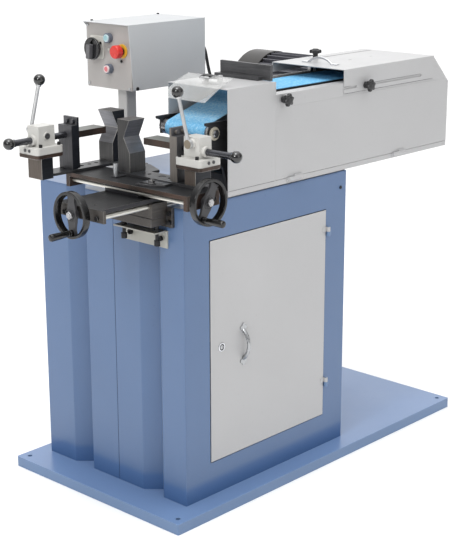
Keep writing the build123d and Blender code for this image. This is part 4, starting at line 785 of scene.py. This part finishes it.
def grip(node, place):
    """Turned grip on its pin."""
    s = Shape()
    s.lathe([(3.4, 10), (3.95, 10.6), (3.95, 25)], SATIN, at=(0, -48), seg=24)
    s.lathe(
        [
            (7.3, 24.3),
            (8.0, 25),
            (8.0, 29),
            (7.3, 30.2),
            (7.5, 34),
            (8.1, 42),
            (8.9, 52),
            (9.5, 62),
            (9.85, 74),
            (9.95, 82),
            (9.7, 85.6),
            (8.6, 88),
            (6.4, 89),
        ],
        RIM_BLACK,
        at=(0, -48),
        seg=40,
    )
    s.finish(node + "_fine", place, node, node)


X_WHEEL = stand(-806.5, -142, 904, [("Y", -90), ("Z", -90)])
Y_WHEEL = stand(-585, -392.5, 938, [("X", 90), ("Z", -28)])
handwheel("x_handwheel", X_WHEEL, 240)
handwheel("y_handwheel", Y_WHEEL, 350)
grip("x_grip", X_WHEEL)
grip("y_grip", Y_WHEEL)

# ---------------------------------------------------------------------------
# Vise
# ---------------------------------------------------------------------------
rounded("swivel_plate", 0.0010, 2, [SWIVEL_TOP, GROUND_STEEL], lambda c, n: 1 if abs(n.z) < 0.5 else 0, edge=GROUND_STEEL)


def vise_face(c, n):
    x, y, z = c * 1000
    if x < -650 or y < -200:
        if z > (1015.5 if x < -650 else 1009.0):
            return 4 if abs(n.z) > 0.5 else 5
        return 2 if n.y < -0.5 else 3
    if abs(n.z) > 0.2 and abs(n.z) < 0.97:
        return 1
    if n.y < -0.5:
        return 2 if x > -495 else 0
    return 0


rounded(
    "vise_blocks",
    0.0009,
    2,
    [VEE_FRONT, VEE_FACE, NAVY_STEEL, POST_FRONT, TOP_STEEL, BROWN_STEEL],
    vise_face,
    edge=EDGE,
)
rounded("clamp_castings", 0.0030, 3, [CAST])


def bolt_face(c, n):
    if near(c, (-601, -75, 981), 21):
        return 1
    x, y, z = c * 1000
    if near(c, (-726, 57.5, 1073), 11) or near(c, (-510.5, -323, 1066.5), 11):
        return 2
    return 2 if z < 1043 and (x < -774.5 or y < -371.5) else 0


rounded("vise_bolts", 0.0006, 2, [SCREW_BLACK, ZINC, GROUND_STEEL], bolt_face)
BALLS = {
    "clamp_a_rod": (-723 - 113, 85, 1063),
    "clamp_b_rod": (-538, -320 - 141, 1056.5),
    "lever_a": (-723 + 29, 85 + 36.7, 1063 + 153),
    "lever_b": (-538 - 36.7, -320 + 31.6, 1056.5 + 154),
}


def bar_face(n, ball):
    def pick(c, nn):
        if near(c, ball, 16.4):
            return 1
        if "lever" in n and near(c, (-730, 85 + 42, 1085) if n == "lever_a" else (-538 - 42, -327, 1078.5), 3):
            return 2
        return 0

    return pick


for n, ball in BALLS.items():
    rounded(n, 0.0006, 2, [GUNMETAL if "rod" in n else LEVER, BALL_BLACK, BRONZE], bar_face(n, ball))


def jaw_face(n):
    along, across = (0, 1) if n == "clamp_a_jaw" else (1, 0)
    start = -0.641 if n == "clamp_a_jaw" else -0.275

    def pick(c, nn):
        if c[along] > start + 0.0271:
            return 2 if nn.z > 0.5 else 3
        if nn.y < -0.5:
            return 1 if n == "clamp_a_jaw" else 0
        if nn.x < -0.5 and n == "clamp_b_jaw":
            return 4
        return 0 if nn.x < -0.5 or nn.z > 0.5 else 1

    return pick


for n in ("clamp_a_jaw", "clamp_b_jaw"):
    rounded(n, 0.0009, 2, [COLUMN, NAVY_STEEL, PUSHER, BROWN_STEEL, JAW_SIDE], jaw_face(n), edge=GROUND_STEEL)

# ---------------------------------------------------------------------------
# Stop, shield, hinges, screws
# ---------------------------------------------------------------------------
rounded("work_stop", 0.0010, 2, [GRAPHITE], edge=GROUND_STEEL)


def shield_face(c, n):
    x, y, z = c * 1000
    if abs(x + 347) < 3.7 and z > 1216:
        return 2
    if -197.5 < y < -154.5 and x > -357.5 and (z > 1217.9 or x > -336 or (x < -337 and z > 1212.3 + (x + 356) * 0.333 + 1.0)):
        return 1
    return 0


rounded("eye_shield", 0.0004, 2, [CLEAR, LEVER, SCREW_BLACK], shield_face, edge=SHEET_EDGE)
rounded("fixed_hinge_halves", 0.0006, 2, [GREY, BLUE], lambda c, n: 1 if c.z < 0.86 else 0)


def screw_face(c, n):
    if c.z < 1.1 or c.x > -0.3405 or near(c, (-342, 174, 1228), 8) or near(c, (-346, 259, 1275), 8):
        return 0
    return 2 if near(c, (-342, 227, 1259), 8) else 1


rounded("frame_screws", 0.0006, 2, [SCREW_BLACK, ZINC, PLATE_LIGHT], screw_face)


def lip(name, x0, x1, y, z, h, body, mat):
    """Thin dark half-round bead along X on a face that looks towards -Y: a painted shadow line."""
    s = Shape()
    rows = []
    for x in (x0, x0 + 0.3, x1 - 0.3, x1):
        k = 0.6 if x in (x0, x1) else 1.0
        rows.append([(x, y - 0.25 * k, z - h / 2 * k), (x, y - 0.4 * k, z), (x, y - 0.25 * k, z + h / 2 * k), (x, y, z + h / 2 * k), (x, y, z - h / 2 * k)])
    s.rings(rows, mat)
    s.finish(name, Matrix.Identity(4), body, None)


def front_joint_shadow():
    """Dark strip sunk in the joint of the two front sheets, a painted shadow in the groove."""
    s = Shape()
    rows = []
    for z, k in ((33.0, 0.7), (33.6, 1.0), (889.4, 1.0), (890.0, 0.7)):
        rows.append([(-556.3, -8 - 0.9 * k, z), (-556.7, -8, z), (-556.3, -8 + 0.9 * k, z), (-555.7, -8 + 0.9 * k, z), (-555.7, -8 - 0.9 * k, z)])
    s.rings(rows, JOINT_SHADOW)
    s.finish("front_joint_shadow", Matrix.Identity(4), "frame", None)


# Dark blue for the strip in the front joint: painted shade.
JOINT_SHADOW = paint("joint_shadow", lin(40, 58, 88), var=0.06, rough=(0.5, 0.65), peel=0.1, coat=0.0)
front_joint_shadow()
# Grey beads under the sliding cover's lower edge, along its slot edges and along the head seam: painted shadow lines.
SEAM_SHADOW = paint("seam_shadow", lin(104, 104, 106), var=0.06, rough=(0.5, 0.65), peel=0.1)
lip("head_seam_shadow", -381, -189, -288, 914.4, 1.2, "frame", SEAM_SHADOW)
lip("cover_edge_shadow", 119, 574, -290.5, 1127.8, 1.3, "sliding_cover", SEAM_SHADOW)
lip("slot_shadow_rear", 236, 506, -290.5, 1148.3, 1.1, "sliding_cover", SEAM_SHADOW)
lip("slot_shadow_front", 119, 149, -290.5, 1148.3, 1.1, "sliding_cover", SEAM_SHADOW)


# ---------------------------------------------------------------------------
# Floor and light
# ---------------------------------------------------------------------------
def make_stage():
    bm = bmesh.new()
    bmesh.ops.create_grid(bm, x_segments=8, y_segments=8, size=60)
    me = bpy.data.meshes.new("floor")
    bm.to_mesh(me)
    bm.free()
    floor = bpy.data.objects.new("floor", me)
    floor.location = (0, 0, -0.0005)
    scene.collection.objects.link(floor)
    m = Mat("floor_pale")
    n = m.noise(1.5, 3, 0.5)
    m.put(
        Base_Color=m.ramp(n, [(0.3, lin(250, 250, 250)), (0.7, lin(253, 253, 253))]),
        Roughness=m.span(n, 0.3, 0.7, 0.75, 0.85),
    )
    me.materials.append(m.m)

    world = bpy.data.worlds.new("studio")
    scene.world = world
    world.use_nodes = True
    bg = world.node_tree.nodes["Background"]
    bg.inputs["Color"].default_value = (1, 1, 1, 1)
    tree = world.node_tree
    spot = tree.nodes.new("ShaderNodeTexCoord")
    part = tree.nodes.new("ShaderNodeSeparateXYZ")
    tree.links.new(spot.outputs["Generated"], part.inputs[0])
    last = part.outputs["Z"]
    for op, value in (("MAXIMUM", 0.0), ("POWER", 4.0), ("MULTIPLY", 2.2), ("ADD", 0.32)):
        step = tree.nodes.new("ShaderNodeMath")
        step.operation = op
        tree.links.new(last, step.inputs[0])
        step.inputs[1].default_value = value
        last = step.outputs[0]
    back = tree.nodes.new("ShaderNodeVectorMath")
    back.operation = "DOT_PRODUCT"
    tree.links.new(spot.outputs["Generated"], back.inputs[0])
    back.inputs[1].default_value = (0.74, 0.67, 0.0)
    glow = back.outputs["Value"]
    for op, value in (("MAXIMUM", 0.0), ("POWER", 3.0), ("MULTIPLY", 1.1)):
        step = tree.nodes.new("ShaderNodeMath")
        step.operation = op
        tree.links.new(glow, step.inputs[0])
        step.inputs[1].default_value = value
        glow = step.outputs[0]
    both = tree.nodes.new("ShaderNodeMath")
    both.operation = "ADD"
    tree.links.new(last, both.inputs[0])
    tree.links.new(glow, both.inputs[1])
    tree.links.new(both.outputs[0], bg.inputs["Strength"])

    def lamp(name, at, target, size, power, size_y=None):
        data = bpy.data.lights.new(name, "AREA")
        data.shape = "RECTANGLE"
        data.size = size
        data.size_y = size_y or size
        data.energy = power
        obj = bpy.data.objects.new(name, data)
        scene.collection.objects.link(obj)
        obj.location = at
        obj.rotation_mode = "QUATERNION"
        obj.rotation_quaternion = (Vector(target) - Vector(at)).to_track_quat("-Z", "Y")

    lamp("key", (-4.4, -0.9, 3.2), (-0.3, -0.1, 1.0), 0.8, 58)
    lamp("top", (-1.4, -0.5, 4.0), (-0.1, -0.1, 0.8), 1.4, 38)
    lamp("side", (-0.4, -4.2, 2.4), (0, 0, 0.8), 2.6, 24)


make_stage()
